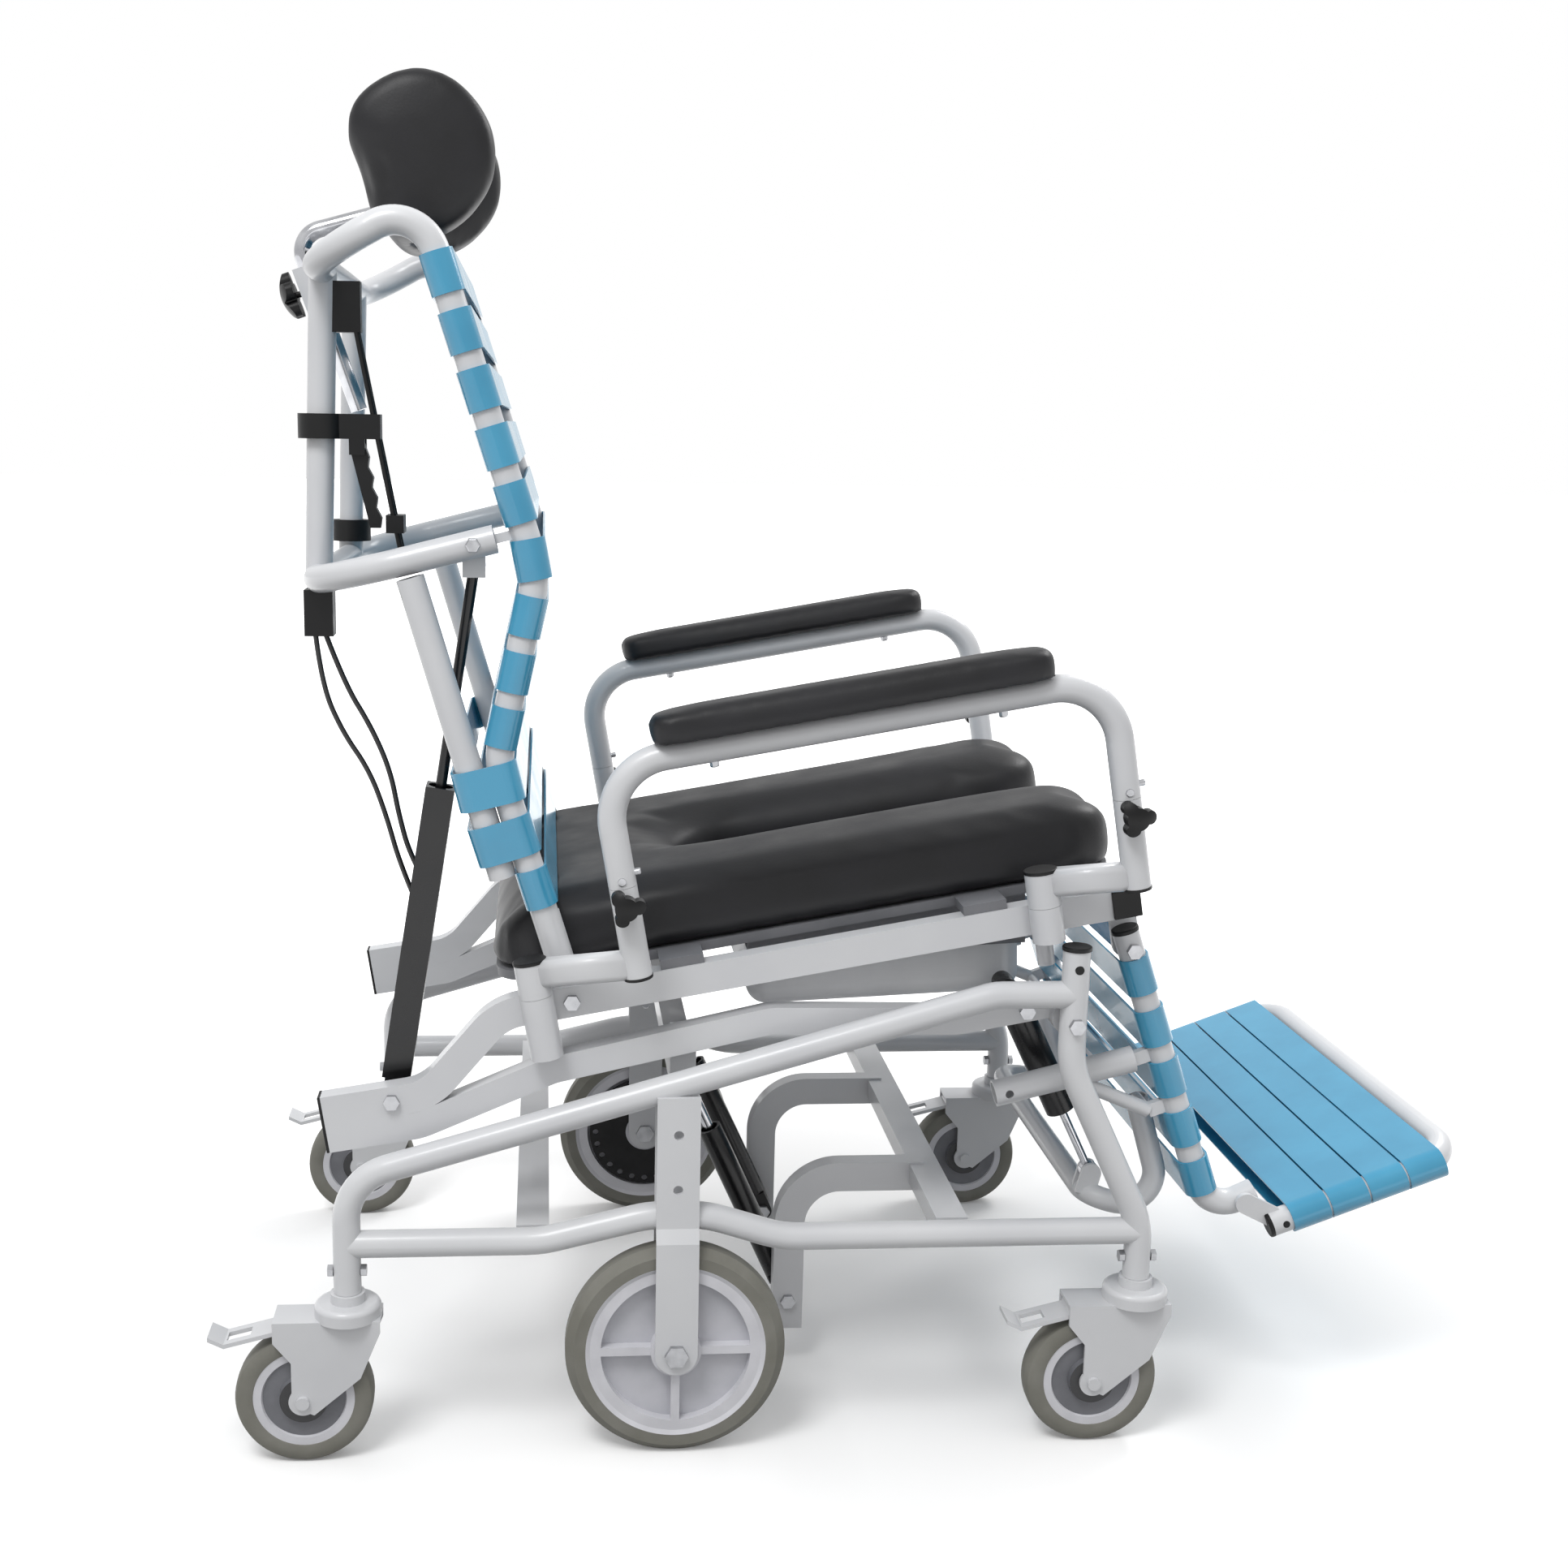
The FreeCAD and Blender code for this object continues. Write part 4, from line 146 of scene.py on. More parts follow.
# A short round piece from a foot point along a direction, with a small rounded far edge.
def stud(name, body, foot, way, radius, length, material, sides=32):
    turn = Vector((0, 0, 1)).rotation_difference(way).to_matrix()
    ease = min(radius, length) * STUD_EASE
    profile = [(radius, 0), (radius, length - ease),
               (radius - ease * STUD_MIDDLE, length - ease * STUD_MIDDLE), (radius - ease, length)]
    spots, faces = [], []
    for reach, high in profile:
        for step in range(sides):
            angle = 2 * math.pi * step / sides
            spots.append(foot + turn @ Vector((reach * math.cos(angle), reach * math.sin(angle), high)))
    for ring in range(len(profile) - 1):
        for step in range(sides):
            other = (step + 1) % sides
            faces.append((ring * sides + step, ring * sides + other,
                          (ring + 1) * sides + other, (ring + 1) * sides + step))
    faces.append(tuple(reversed(range(sides))))
    faces.append(tuple(range((len(profile) - 1) * sides, len(profile) * sides)))
    mesh = bpy.data.meshes.new(name)
    mesh.from_pydata(spots, [], faces)
    add_piece(name, body, mesh, material)


# Painted shade: a thin black nylon disc on each upright, dark where the open bolt hole would be shaded inside.
for side, sign in SIDES.items():
    stud("upright_hole_" + side, "base", Vector((0.187, sign * 0.2926, 0.461)), Vector((0, sign, 0)),
         radius=0.0042, length=0.0012, material=nylon)

# Casters: a pressed steel fork and brake pedal, painted like the frame, over a wheel on a ball bearing.
# Each wheel is a grey rubber tread moulded on a white core, with a grey web and a dark cover on its bearing.
# The wheel is turned here as a run of rings (radius, half width, finish), so that its grooves stay crisp.
CORNERS = [end + "_" + side for end in ("rear", "front") for side in SIDES]
# Non-marking thermoplastic rubber: matt warm grey, scuffed in patches of 40 mm, with a 2 mm moulded texture.
tyre = relief(surface("grey_moulded_rubber", "7E7D76", "6E6D65", (0.62, 0.8), 40), 2.0, 0.2)
# Moulded wheel plastics: smooth from the tool and half gloss, with drifts of colour as wide as the flow marks.
core_white = surface("white_moulded_nylon", "D1D1D6", "C6C6CB", (0.3, 0.42), 33)
web_dark = surface("dark_grey_moulded_nylon", "707176", "626368", (0.4, 0.54), 25)
cover_dark = surface("black_moulded_bearing_cover", "2F2F31", "252527", (0.4, 0.52), 17)
CASTER_RINGS = [(0.0062, 0.0158, cover_dark), (0.0215, 0.0158, cover_dark),
                (0.0225, 0.0100, web_dark), (0.0375, 0.0100, web_dark),
                (0.0385, 0.0122, core_white), (0.0458, 0.0122, core_white),
                (0.0462, 0.0128, tyre), (0.0500, 0.0138, tyre), (0.0570, 0.0138, tyre), (0.0605, 0.0118, tyre),
                (0.0622, 0.0080, tyre), (0.0625, 0.0000, tyre)]
CASTER_RINGS += [(reach, -half, material) for reach, half, material in reversed(CASTER_RINGS[:-1])]
TURNS = 72
CRISP_FROM = math.radians(35)
for corner in CORNERS:
    finish(paint, "caster_fork_" + corner, "caster_pedal_" + corner)
    low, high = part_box("caster_wheel_" + corner)
    axle = (low + high) / 2
    spots, faces, finishes = [], [], []
    for reach, station, _ in CASTER_RINGS:
        for step in range(TURNS):
            angle = 2 * math.pi * step / TURNS
            spots.append((axle.x + reach * math.cos(angle), axle.y + station, axle.z + reach * math.sin(angle)))
    for ring, (reach, _, material) in enumerate(CASTER_RINGS):
        following = (ring + 1) % len(CASTER_RINGS)
        outer = material if reach > CASTER_RINGS[following][0] else CASTER_RINGS[following][2]
        for step in range(TURNS):
            other = (step + 1) % TURNS
            faces.append((ring * TURNS + step, ring * TURNS + other,
                          following * TURNS + other, following * TURNS + step))
            finishes.append(outer)
    mesh = bpy.data.meshes.new("caster_tread_" + corner)
    mesh.from_pydata(spots, [], faces)
    palette = [cover_dark, web_dark, core_white, tyre]
    for material in palette:
        mesh.materials.append(material)
    for face, material in zip(mesh.polygons, finishes):
        face.material_index = palette.index(material)
        face.use_smooth = True
    mesh.validate()
    wheel = bpy.data.objects.new("caster_tread_" + corner, mesh)
    scene.collection.objects.link(wheel)
    wheel.modifiers.new("crisp_rings", "EDGE_SPLIT").split_angle = CRISP_FROM
    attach(wheel, "wheel_" + corner)
    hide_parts("caster_wheel_" + corner)

# Centre wheels: a spoked plastic wheel with a rubber tread, on an axle between the two plates of each side.
# The spokes and rim stand on the outer face, and a perforated steel brake disc is fixed to the inner one.
# The solid's rings are told apart by how far each face lies from the axle and from the wheel's middle.
TREAD_FROM, RIM_FROM, HUB_TO = 0.0835, 0.0685, 0.0215
DISC_PROUD, SPOKE_PROUD = 0.0045, 0.0035
# Moulded nylon like that of the casters, in light grey.
web_grey = surface("grey_moulded_nylon", "C0C0C6", "B4B5BB", (0.36, 0.5), 33)
# Oxide-blacked steel: a dark metal, half gloss, with the patchy dulling of oiled plate.
brake_black = surface("black_oxide_steel", "19191A", "101011", (0.34, 0.5), 17, metal=0.6)
for side, sign in SIDES.items():
    mesh = nodes["centre_wheel_" + side].data
    low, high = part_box("centre_wheel_" + side)
    hub = (low + high) / 2
    mesh.materials.clear()
    palette = [web_grey, core_white, tyre, brake_black]
    for material in palette:
        mesh.materials.append(material)
    for face in mesh.polygons:
        out = math.hypot(face.center.x - hub.x, face.center.z - hub.z)
        inward = (hub.y - face.center.y) * sign
        if out > TREAD_FROM:
            material = tyre
        elif out > RIM_FROM or inward < -SPOKE_PROUD:
            material = core_white
        elif inward > DISC_PROUD and out > HUB_TO:
            material = brake_black
        else:
            material = web_grey
        face.material_index = palette.index(material)

# Seat frame: two long bent rails with rear tails, joined by cross tubes and hinged to the base to tilt.
# It is painted rectangular steel tube, bolted through, with flat black plugs in the open tube ends.
SEAT_RISE = math.radians(10.1)
SEAT_START = Vector((-0.3325, 0, 0.4127))
seat_along = Vector((math.cos(SEAT_RISE), 0, math.sin(SEAT_RISE)))
seat_up = Vector((-math.sin(SEAT_RISE), 0, math.cos(SEAT_RISE)))
tail_way = Vector((0.095, 0, 0.0145)).normalized()
finish(paint, "seat_cross_front", "seat_cross_rear", "seat_side_right", "seat_side_left")
ACROSS = Vector((0, 1, 0))
PLUG_EDGE = 0.0008
TAIL_SINK, TAIL_STACK = 0.0012, 0.0265
finish(zinc, "seat_bolts")


# A rounded box plug about a centre, with its length along a direction in the upright plane.
def plug(name, centre, way, length, width, height):
    rise = way.cross(ACROSS)
    spots = []
    for along in (-0.5, 0.5):
        for over, high in ((-0.5, -0.5), (0.5, -0.5), (0.5, 0.5), (-0.5, 0.5)):
            spots.append(centre + way * (along * length) + ACROSS * (over * width) + rise * (high * height))
    faces = [(0, 3, 2, 1), (4, 5, 6, 7), (0, 1, 5, 4), (1, 2, 6, 5), (2, 3, 7, 6), (3, 0, 4, 7)]
    mesh = bpy.data.meshes.new(name)
    mesh.from_pydata(spots, [], faces)
    soft = add_piece(name, "seat_frame", mesh, nylon).modifiers.new("soft_edge", "BEVEL")
    soft.width = PLUG_EDGE
    soft.segments = 2


for side, sign in SIDES.items():
    plug("cross_plug_" + side, Vector((0.2375, sign * 0.2588, 0.514)), seat_along,
         length=0.0262, width=0.004, height=0.0262)
    tail_end = Vector((-0.492, sign * 0.247, 0.3225)) - tail_way * TAIL_SINK
    plug("rail_plug_upper_" + side, tail_end, tail_way, length=0.003, width=0.0206, height=0.0286)
    lower_end = tail_end - tail_way.cross(ACROSS) * TAIL_STACK
    plug("rail_plug_lower_" + side, lower_end, tail_way, length=0.003, width=0.0206, height=0.0254)

# Seat board and commode pan: a flat grey panel with runners under it, screwed to the rails, and a light tray
# with a flat lip that draws out to the rear on them. Both are moulded plastic.
# Moulded ABS: matt mid grey with a 1.4 mm leather-like texture that hides scratches.
panel = relief(surface("grey_moulded_abs", "737478", "68696D", (0.5, 0.62), 50), 1.4, 0.1)
# Moulded polypropylene: pale and waxy, nearly smooth, with a faint 0.8 mm ripple from the tool.
tray = relief(surface("light_moulded_polypropylene", "E6E7E9", "DCDDE0", (0.3, 0.42), 83), 0.83, 0.04)
finish(panel, "seat_board")
finish(tray, "commode_pan")

# Seat cushion: a horseshoe of foam under a soft black skin, open at the front, laid on the seat board.
# Foam and skin are moulded in one, so there are no seams, and the top falls softly towards its slot.
# The cover is made from the solid that it stands for: remeshed, dished, swollen a little and relaxed.
# Self-skinned polyurethane: near black, half matt, with a 2.6 mm leather grain that shows in the highlights.
skin = surface("black_moulded_polyurethane", "1C1C1F", "171719", (0.4, 0.52), 56, specular=0.27)
relief(skin, 2.6, 0.3, 6.0)
RELAX = 0.5
# The cloth run: steps, push of the foam, and how far down a held face looks.
PUFF_STEPS, PUFF_QUALITY, PUFF_PUSH, HELD_BELOW = 16, 4, 4, -0.75


# Evens out a cover and keeps the result as its mesh.
def settle(pad, rounds, finer=0):
    relax = pad.modifiers.new("relaxed", "SMOOTH")
    relax.factor = RELAX
    relax.iterations = rounds
    if finer:
        pad.modifiers.new("finer", "SUBSURF").levels = finer
    shaped = bpy.data.meshes.new_from_object(pad.evaluated_get(bpy.context.evaluated_depsgraph_get()))
    pad.modifiers.clear()
    pad.data = shaped


# Foam pressing out against its cover: a short cloth run under pressure, held by the faces it rests on.
def puff(pad, swell):
    start = [vertex.co.copy() for vertex in pad.data.vertices]
    held = pad.vertex_groups.new(name="held")
    held.add([vertex.index for vertex in pad.data.vertices if vertex.normal.z < HELD_BELOW], 1.0, "REPLACE")
    cloth = pad.modifiers.new("cover", "CLOTH")
    cloth.settings.quality = PUFF_QUALITY
    cloth.settings.use_pressure = True
    cloth.settings.uniform_pressure_force = PUFF_PUSH
    cloth.settings.effector_weights.gravity = 0
    cloth.settings.vertex_group_mass = "held"
    cloth.point_cache.frame_end = PUFF_STEPS
    for step in range(1, PUFF_STEPS + 1):
        scene.frame_set(step)
    moved = pad.evaluated_get(bpy.context.evaluated_depsgraph_get()).to_mesh()
    ends = [vertex.co.copy() for vertex in moved.vertices]
    scene.frame_set(1)
    pad.modifiers.clear()
    pad.vertex_groups.clear()
    for vertex, begin, end in zip(pad.data.vertices, start, ends):
        shift = end - begin
        if shift.length > swell:
            shift = shift * (swell / shift.length)
        vertex.co = begin + shift


# A padded cover in place of a solid, on the same body.
def pad_from(node, name, body, voxel, swell, shape=None):
    mesh = nodes[node].data.copy()
    mesh.name = name
    pad = bpy.data.objects.new(name, mesh)
    scene.collection.objects.link(pad)
    remesh = pad.modifiers.new("even_mesh", "REMESH")
    remesh.mode = "VOXEL"
    remesh.voxel_size = voxel
    settle(pad, rounds=8)
    if shape:
        shape(pad.data)
    puff(pad, swell)
    settle(pad, rounds=6, finer=1)
    pad.data.materials.clear()
    pad.data.materials.append(skin)
    for face in pad.data.polygons:
        face.use_smooth = True
        face.material_index = 0
    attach(pad, body)
    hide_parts(node)


# The cushion's top falls towards its slot, like a shallow dish with the slot in its middle.
def dish(mesh):
    slot_half, slot_rear, reach, depth, top, skirt = 0.058, 0.248, 0.06, 0.010, 0.083, 0.035
    for vertex in mesh.vertices:
        from_rear = vertex.co - SEAT_START
        along, up = from_rear.dot(seat_along), from_rear.dot(seat_up)
        away = math.hypot(min(along - slot_rear, 0), vertex.co.y) - slot_half
        share = min(max(1 - away / reach, 0), 1) * min(max(1 - (top - up) / skirt, 0), 1)
        vertex.co -= seat_up * (depth * share * share)


pad_from("seat_cushion", "seat_cushion_skin", "seat_frame", voxel=0.007, swell=0.006, shape=dish)

# Armrests: a bent tube slides in two legs and is clamped by a wing knob on each, and the legs swing outwards on
# posts welded to the rails. The tubes are painted, the knobs, caps and plugs are black nylon, and a padded rest
# is held from below by two screws.
POST_ACROSS, LEG_ACROSS, STUB_UP = 0.270, 0.299, 0.0365
post_at = {"rear": 0.036, "front": 0.501}
leg_at = {"rear": 0.129, "front": 0.579}
pad_screw_at = {"rear": 0.225, "front": 0.480}
CORNER_STEPS = 6


# A spot given along the rails from their rear bend, across, and up from the rails' middle.
def on_seat(along, across, up):
    return SEAT_START + seat_along * along + seat_up * up + Vector((0, across, 0))


# A bar with rounded corners from one spot to another, upright across its run.
def flat_bar(name, body, start, end, half_width, half_height, corner):
    run = (end - start).normalized()
    rise = (seat_up - run * seat_up.dot(run)).normalized()
    across = run.cross(rise)
    rim = []
    for quarter, (over, high) in enumerate(((1, 1), (-1, 1), (-1, -1), (1, -1))):
        for step in range(CORNER_STEPS + 1):
            angle = math.pi / 2 * (quarter + step / CORNER_STEPS)
            rim.append(across * (over * (half_width - corner) + corner * math.cos(angle))
                       + rise * (high * (half_height - corner) + corner * math.sin(angle)))
    count = len(rim)
    faces = [(spot, (spot + 1) % count, count + (spot + 1) % count, count + spot) for spot in range(count)]
    faces += [tuple(reversed(range(count))), tuple(range(count, 2 * count))]
    mesh = bpy.data.meshes.new(name)
    mesh.from_pydata([start + spot for spot in rim] + [end + spot for spot in rim], [], faces)
    for face in mesh.polygons:
        face.use_smooth = len(face.vertices) == 4
    add_piece(name, body, mesh, paint)


for side, sign in SIDES.items():
    finish(paint, "arm_legs_" + side, "arm_tube_" + side)
    pad_from("arm_pad_" + side, "arm_pad_skin_" + side, "arm_top_" + side, voxel=0.004, swell=0.002)
    outward = Vector((0, sign, 0))
    for end in ("rear", "front"):
        spot = end + "_" + side
        finish(nylon, "arm_knob_" + spot)
        flat_bar("arm_stub_" + spot, "arm_" + side, on_seat(post_at[end], sign * POST_ACROSS, STUB_UP),
                 on_seat(leg_at[end], sign * LEG_ACROSS, STUB_UP),
                 half_width=0.0108, half_height=0.0128, corner=0.007)
        stud("post_cap_" + spot, "arm_" + side, on_seat(post_at[end], sign * POST_ACROSS, 0.0468), seat_up,
             radius=0.0154, length=0.003, material=nylon)
        stud("leg_plug_" + spot, "arm_" + side, on_seat(leg_at[end], sign * LEG_ACROSS, 0.0262), -seat_up,
             radius=0.0131, length=0.003, material=nylon)
        stud("pad_screw_" + spot, "arm_top_" + side, on_seat(pad_screw_at[end], sign * LEG_ACROSS, 0.2035),
             -seat_up, radius=0.0042, length=0.0055, material=zinc, sides=6)
        stud("arm_button_" + spot, "arm_top_" + side,
             on_seat(leg_at[end] + 0.0118, sign * LEG_ACROSS, 0.119), seat_along,
             radius=0.003, length=0.006, material=zinc, sides=16)
        stud("arm_screw_" + spot, "arm_top_" + side, on_seat(leg_at[end], sign * 0.3105, 0.1145), outward,
             radius=0.0038, length=0.002, material=zinc, sides=16)

# Backrest frame: two side tubes and a push frame with a lower loop behind them, painted steel like the base.
# The back is hinged to the seat rails, and a hexagon bolt on each side joins the loop to its tubes.
finish(paint, "push_frame", "back_side_right", "back_side_left")
for side, sign in SIDES.items():
    stud("loop_bolt_" + side, "back", Vector((-0.354, sign * 0.2498, 0.8316)), Vector((0, sign, 0)),
         radius=0.0068, length=0.0042, material=zinc, sides=6)

# Back bands: wide blue straps looped round both side tubes and pulled taut, each closed on itself.
# They are cut from extruded synthetic strap, so their edges are slightly rounded and nothing is sewn.
# Extruded synthetic: clear mid blue with a satin shine. Its real texture is too fine to show, so the bumps are
# drawn 0.7 mm apart, and slow drifts of colour about 70 mm wide follow the stretch.
strap = relief(surface("blue_extruded_synthetic", "3F97BB", "378EB2", (0.17, 0.27), 71, coat=0.2), 0.71, 0.04)
STRAP_EDGE, MOULD_EDGE = 0.0008, 0.0012


# Rounds off the sharp edges of a solid as its making leaves them.
def soften(name, width):
    soft = nodes[name].modifiers.new("soft_edge", "BEVEL")
    soft.width = width
    soft.segments = 2
    soft.limit_method = "ANGLE"


finish(strap, "back_bands")
soften("back_bands", STRAP_EDGE)

# Headrest: a winged foam pad moulded in the same black skin, on a bent bar that slides in the push frame.
# The bar is polished chromed steel, and a black star knob clamps it at the wanted height.
# Chrome: a bright mirror, very slightly dulled in patches of 17 mm by wiping.
chrome = surface("polished_chrome", "BDBEC1", "A6A7AB", (0.1, 0.2), 17, metal=1.0)
finish(chrome, "headrest_bar")
finish(nylon, "star_knob")
pad_from("headrest_pad", "headrest_skin", "headrest", voxel=0.005, swell=0.004)

# Release lever and clips: a moulded grip under the push bar pulls the cables that unlock the springs.
# Lever and clips are black nylon mouldings, clamped round the tubes.
finish(nylon, "cable_clips", "release_lever")
soften("cable_clips", MOULD_EDGE)
soften("release_lever", MOULD_EDGE)

# Hanging release cords: two cables that leave the block under the lower loop and hang to the recline spring.
# Each is a steel wire in a black extruded sheath, 5 mm thick, free along its length.
# Extruded vinyl: near black and half matt, with dust drifts along it every 12 mm or so.
sheath = surface("black_extruded_vinyl", "141415", "0D0D0E", (0.4, 0.54), 12.5)
CORD_ROUTES = {
    "release_cord_outer": [(-0.501, -0.149, 0.743), (-0.496, -0.152, 0.697), (-0.478, -0.158, 0.655),
                           (-0.453, -0.166, 0.620), (-0.437, -0.175, 0.578), (-0.425, -0.183, 0.535),
                           (-0.409, -0.189, 0.498)],
    "release_cord_inner": [(-0.493, -0.141, 0.743), (-0.476, -0.146, 0.697), (-0.452, -0.154, 0.659),
                           (-0.434, -0.163, 0.619), (-0.426, -0.172, 0.578), (-0.415, -0.180, 0.540),
                           (-0.396, -0.187, 0.508)],
}
CORD_ACROSS = 0.005
for name, route in CORD_ROUTES.items():
    line = bpy.data.curves.new(name, "CURVE")
    line.dimensions = "3D"
    line.bevel_depth = CORD_ACROSS / 2
    line.bevel_resolution = 3
    line.use_fill_caps = True
    spline = line.splines.new("NURBS")
    spline.points.add(len(route) - 1)
    for point, spot in zip(spline.points, route):
        point.co = (*spot, 1)
    spline.order_u = 3
    spline.use_endpoint_u = True
    line.materials.append(sheath)
    cord = bpy.data.objects.new(name, line)
    scene.collection.objects.link(cord)
    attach(cord, "back")
    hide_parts("release_cords")

# Legrest: two leaning tubes with a strut between them, hinged under the front of the seat and carrying five of
# the blue straps. The tubes are painted like the rest, and a black cap closes the top of each.
LEG_LEAN = math.radians(19.1)
leg_up = Vector((-math.sin(LEG_LEAN), 0, math.cos(LEG_LEAN)))
finish(paint, "leg_strut", "leg_side_right", "leg_side_left")
finish(strap, "leg_bands")
soften("leg_bands", STRAP_EDGE)
for side, sign in SIDES.items():
    leg_top = Vector((0.2537, sign * 0.225, 0.4633)) + leg_up * 0.0168
    stud("leg_cap_" + side, "legrest", leg_top, leg_up,
         radius=0.0131, length=0.004, material=nylon)

# Footrest: a U-shaped tube with four straps looped across it, which folds up on stubs of the legrest.
# Tube and straps are made like those of the back, and a black plug closes each end of the tube.
finish(paint, "foot_frame")
finish(strap, "foot_bands")
soften("foot_bands", STRAP_EDGE)
FOOT_RISE = math.radians(20.4)
foot_back = Vector((-math.cos(FOOT_RISE), 0, -math.sin(FOOT_RISE)))
for side, sign in SIDES.items():
    foot_end = Vector((0.40323, sign * 0.240, 0.19196))
    stud("foot_plug_" + side, "footrest", foot_end, foot_back,
         radius=0.0127, length=0.004, material=nylon)
    # Painted shade: a small black disc on the outer side of each tube, dark where a bolt hole would be shaded
    # inside.
    stud("foot_hole_shade_" + side, "footrest", foot_end - foot_back * 0.012 + Vector((0, sign * 0.0116, 0)),
         Vector((0, sign, 0)), radius=0.0035, length=0.0012, material=nylon, sides=16)

# Springs: a locking one behind the back, two that hold the tilt and one under the legrest, pinned at both ends.
# Each is a drawn steel cylinder with a polished rod; the recline rod is sleeved in black up to its top eye.
ROD_SLEEVE_TOP = 0.783
# Enamelled steel: a deep black with a sharp shine, drifting slightly every 33 mm.
enamel = surface("black_gloss_enamel", "151517", "0F0F10", (0.2, 0.32), 33, specular=0.35)
finish(enamel, "recline_cylinder", "tilt_cylinders", "leg_cylinder", "recline_rod")
finish(chrome, "tilt_rods", "leg_rod")
rod_mesh = nodes["recline_rod"].data
rod_mesh.materials.append(chrome)
for face in rod_mesh.polygons:
    face.material_index = 1 if face.center.z > ROD_SLEEVE_TOP else 0

# Floor: a wide sheet of matt white paper, laid under the chair. To the eye and in reflections it fades to plain
# white away from the chair, so no edge shows. In the light that it throws back it is greyer, which keeps
# undersides dark.
WHITE = (1, 1, 1, 1)
FLOOR_SIZE = 60
FADE_START, FADE_END = 0.7, 1.9
PAPER_LIT, PAPER_SEEN, PAPER_GLOW = 0.3, 0.92, 0.08
bpy.ops.mesh.primitive_plane_add(size=FLOOR_SIZE, location=(0, 0, 0))
floor = bpy.context.object
floor.name = "floor"
# Matt paper: no shine at all.
paper = bpy.data.materials.new("matt_white_paper")
paper.use_nodes = True
paper_tree = paper.node_tree
paper_shader = paper_tree.nodes["Principled BSDF"]
paper_shader.inputs["Roughness"].default_value = 0.9
paper_shader.inputs["Specular IOR Level"].default_value = 0.0
paper_shader.inputs["Emission Color"].default_value = WHITE


# How far a ray only shows the room: 1 for what the eye, a mirror or glass sees, 0 for light between surfaces.
def sight(tree):
    ray = add_node(tree, "ShaderNodeLightPath")
    seen_by = ray.outputs["Is Camera Ray"]
    for other in ("Is Glossy Ray", "Is Transmission Ray"):
        either = add_node(tree, "ShaderNodeMath", [(seen_by, 0), (ray.outputs[other], 1)])
        either.operation = "MAXIMUM"
        seen_by = either.outputs["Value"]
    return seen_by


paper_sight = sight(paper_tree)
paper_white = add_node(paper_tree, "ShaderNodeMapRange", [(paper_sight, "Value")],
                       To_Min=PAPER_LIT, To_Max=PAPER_SEEN)
paper_place = add_node(paper_tree, "ShaderNodeTexCoord")
paper_reach = add_node(paper_tree, "ShaderNodeVectorMath", [(paper_place.outputs["Object"], 0)])
paper_reach.operation = "LENGTH"
paper_fade = add_node(paper_tree, "ShaderNodeMapRange", [(paper_reach.outputs["Value"], "Value")],
                      From_Min=FADE_START, From_Max=FADE_END, To_Min=PAPER_GLOW, To_Max=1.0)
paper_glow = add_node(paper_tree, "ShaderNodeMath", [(paper_fade.outputs["Result"], 0), (paper_sight, 1)])
paper_glow.operation = "MULTIPLY"
paper_tree.links.new(paper_white.outputs["Result"], paper_shader.inputs["Base Color"])
paper_tree.links.new(paper_glow.outputs["Value"], paper_shader.inputs["Emission Strength"])
floor.data.materials.append(paper)

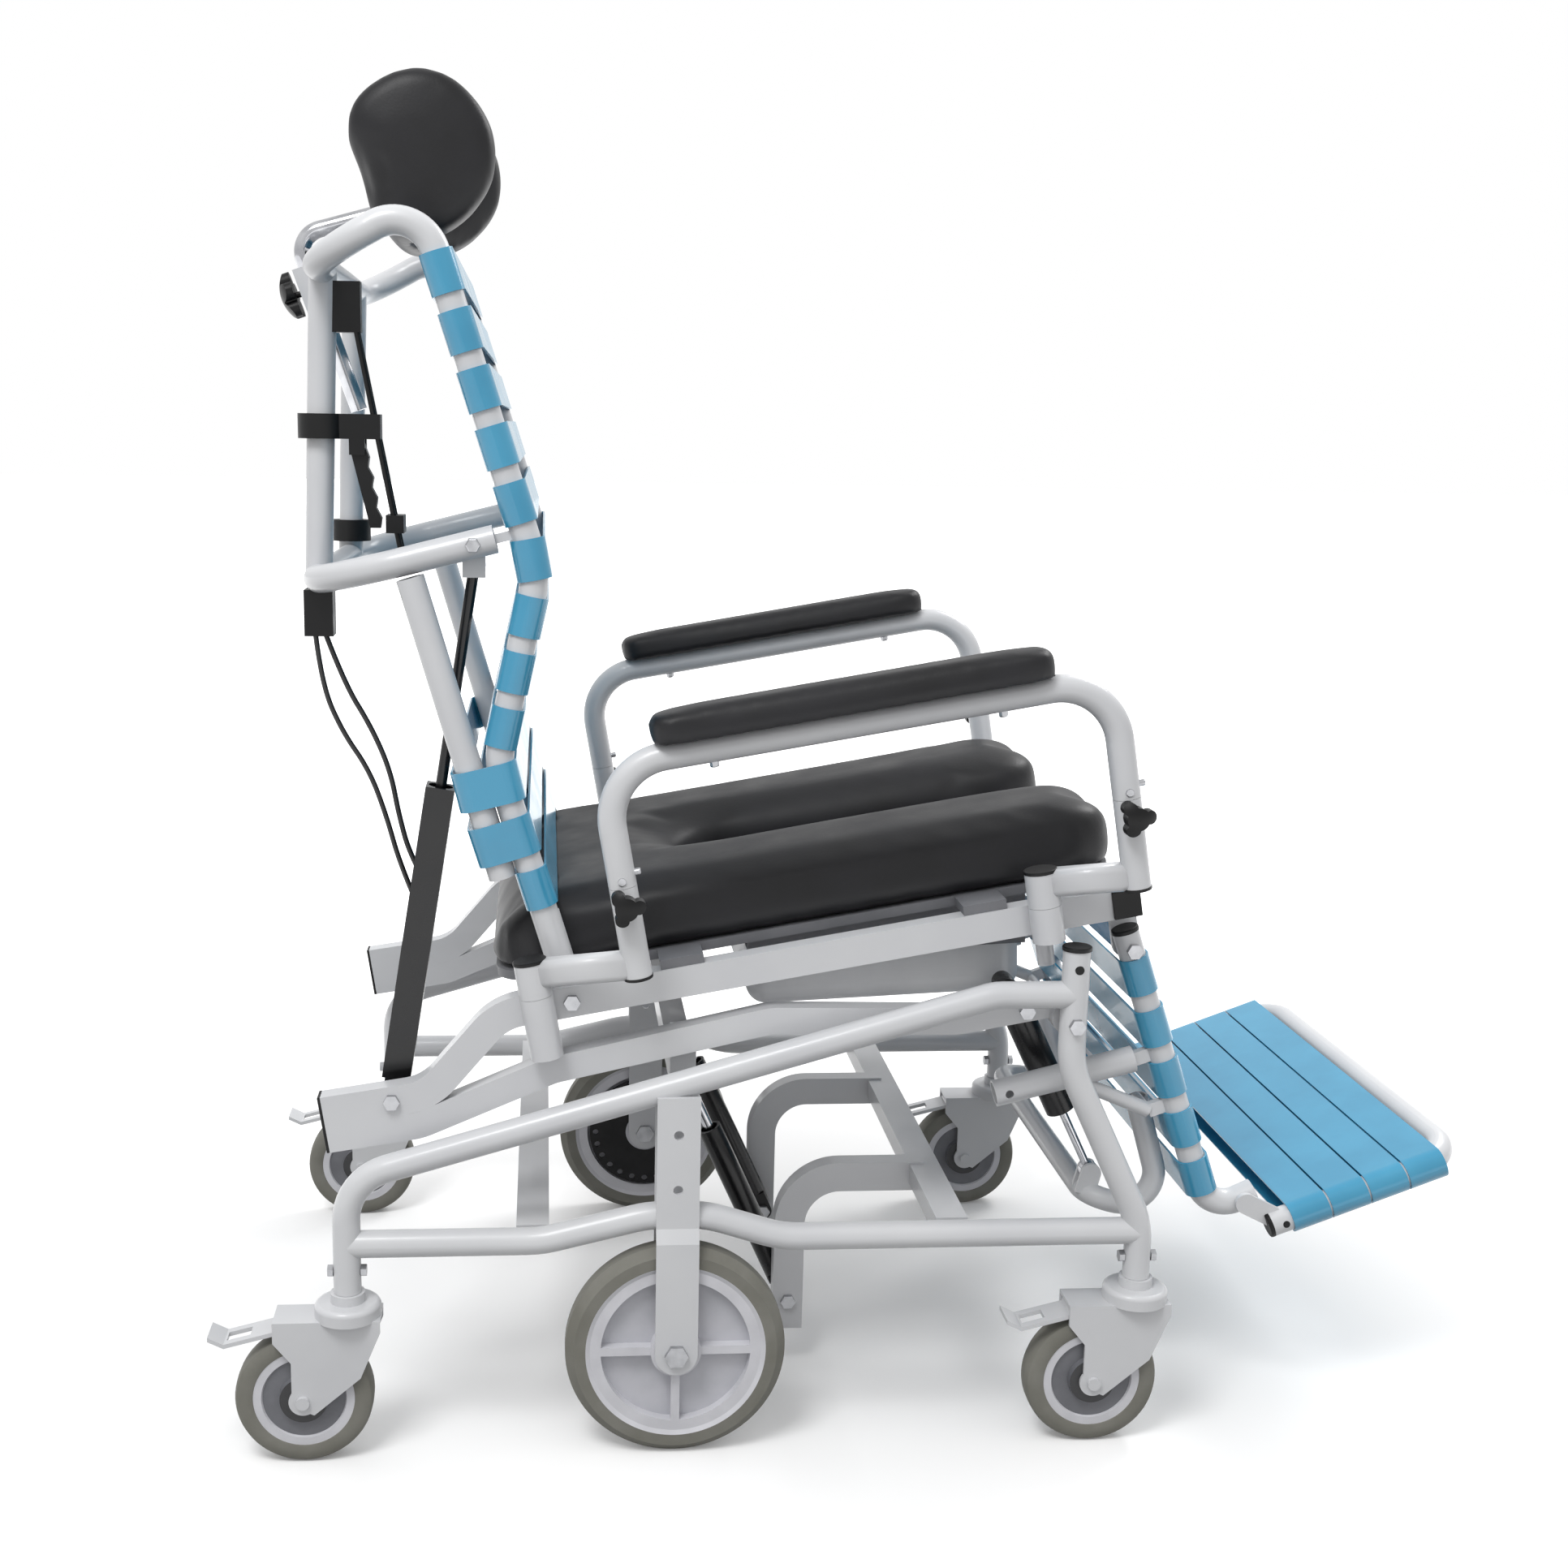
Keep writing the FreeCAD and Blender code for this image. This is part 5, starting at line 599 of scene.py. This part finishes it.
# Light: a white room, brightest above and a little towards the camera, with a soft square lamp on each side.
# The room is white to the eye and in reflections, and dimmer from below in the light that it gives.
BRIGHTEST = (-0.05, -0.25, 0.967)
ROOM_LOW, ROOM_HIGH = 0.1, 1.05
world = bpy.data.worlds.new("white_room")
scene.world = world
world.use_nodes = True
room = world.node_tree
sky = room.nodes["Background"]
sky.inputs["Color"].default_value = WHITE
way = add_node(room, "ShaderNodeTexCoord")
facing = add_node(room, "ShaderNodeVectorMath", [(way.outputs["Generated"], 0)])
facing.operation = "DOT_PRODUCT"
facing.inputs[1].default_value = BRIGHTEST
level = add_node(room, "ShaderNodeMapRange", [(facing.outputs["Value"], "Value")],
                 From_Min=-1.0, From_Max=1.0, To_Min=ROOM_LOW, To_Max=ROOM_HIGH)
shown = add_node(room, "ShaderNodeMath", [(level.outputs["Result"], 0), (sight(room), 1)])
shown.operation = "MAXIMUM"
room.links.new(shown.outputs["Value"], sky.inputs["Strength"])
LAMP_SIZE = 1.1
LAMPS = {"key": ((-1.2, -1.8, 3.2), (0, 0, 0.6), 54), "rim": ((1.8, 1.4, 2.6), (0, 0, 0.5), 36)}
for name, (spot, aim, power) in LAMPS.items():
    light = bpy.data.lights.new(name, "AREA")
    light.size = LAMP_SIZE
    light.energy = power
    lamp = bpy.data.objects.new(name, light)
    lamp.location = spot
    lamp.rotation_euler = (Vector(aim) - Vector(spot)).to_track_quat("-Z", "Y").to_euler()
    scene.collection.objects.link(lamp)

# Camera: the photograph's own view of the chair, from its right and a little above the seat.
# Its place, turn and focal length were fitted to the picture, whose middle is off the optical axis.
YAW, PITCH, ROLL = math.radians(4.74), math.radians(11.12), math.radians(-0.94)
PHOTO, SENSOR = 1932, 36
FOCAL, CENTRE_X, CENTRE_Y = 2359.0, 863.24, 989.38
EYE = Vector((-0.29205, -1.91833, 0.93488))
ahead = Vector((math.sin(YAW) * math.cos(PITCH), math.cos(YAW) * math.cos(PITCH), -math.sin(PITCH)))
right = Vector((math.cos(YAW), -math.sin(YAW), 0))
down = ahead.cross(right)
turned_right = right * math.cos(ROLL) + down * math.sin(ROLL)
turned_down = down * math.cos(ROLL) - right * math.sin(ROLL)
lens = bpy.data.cameras.new("camera")
lens.sensor_width = SENSOR
lens.lens = FOCAL / PHOTO * lens.sensor_width
lens.shift_x = (PHOTO / 2 - CENTRE_X) / PHOTO
lens.shift_y = (CENTRE_Y - PHOTO / 2) / PHOTO
camera = bpy.data.objects.new("camera", lens)
axes = Matrix((turned_right, -turned_down, -ahead)).transposed()
camera.matrix_world = Matrix.Translation(EYE) @ axes.to_4x4()
scene.collection.objects.link(camera)
scene.camera = camera
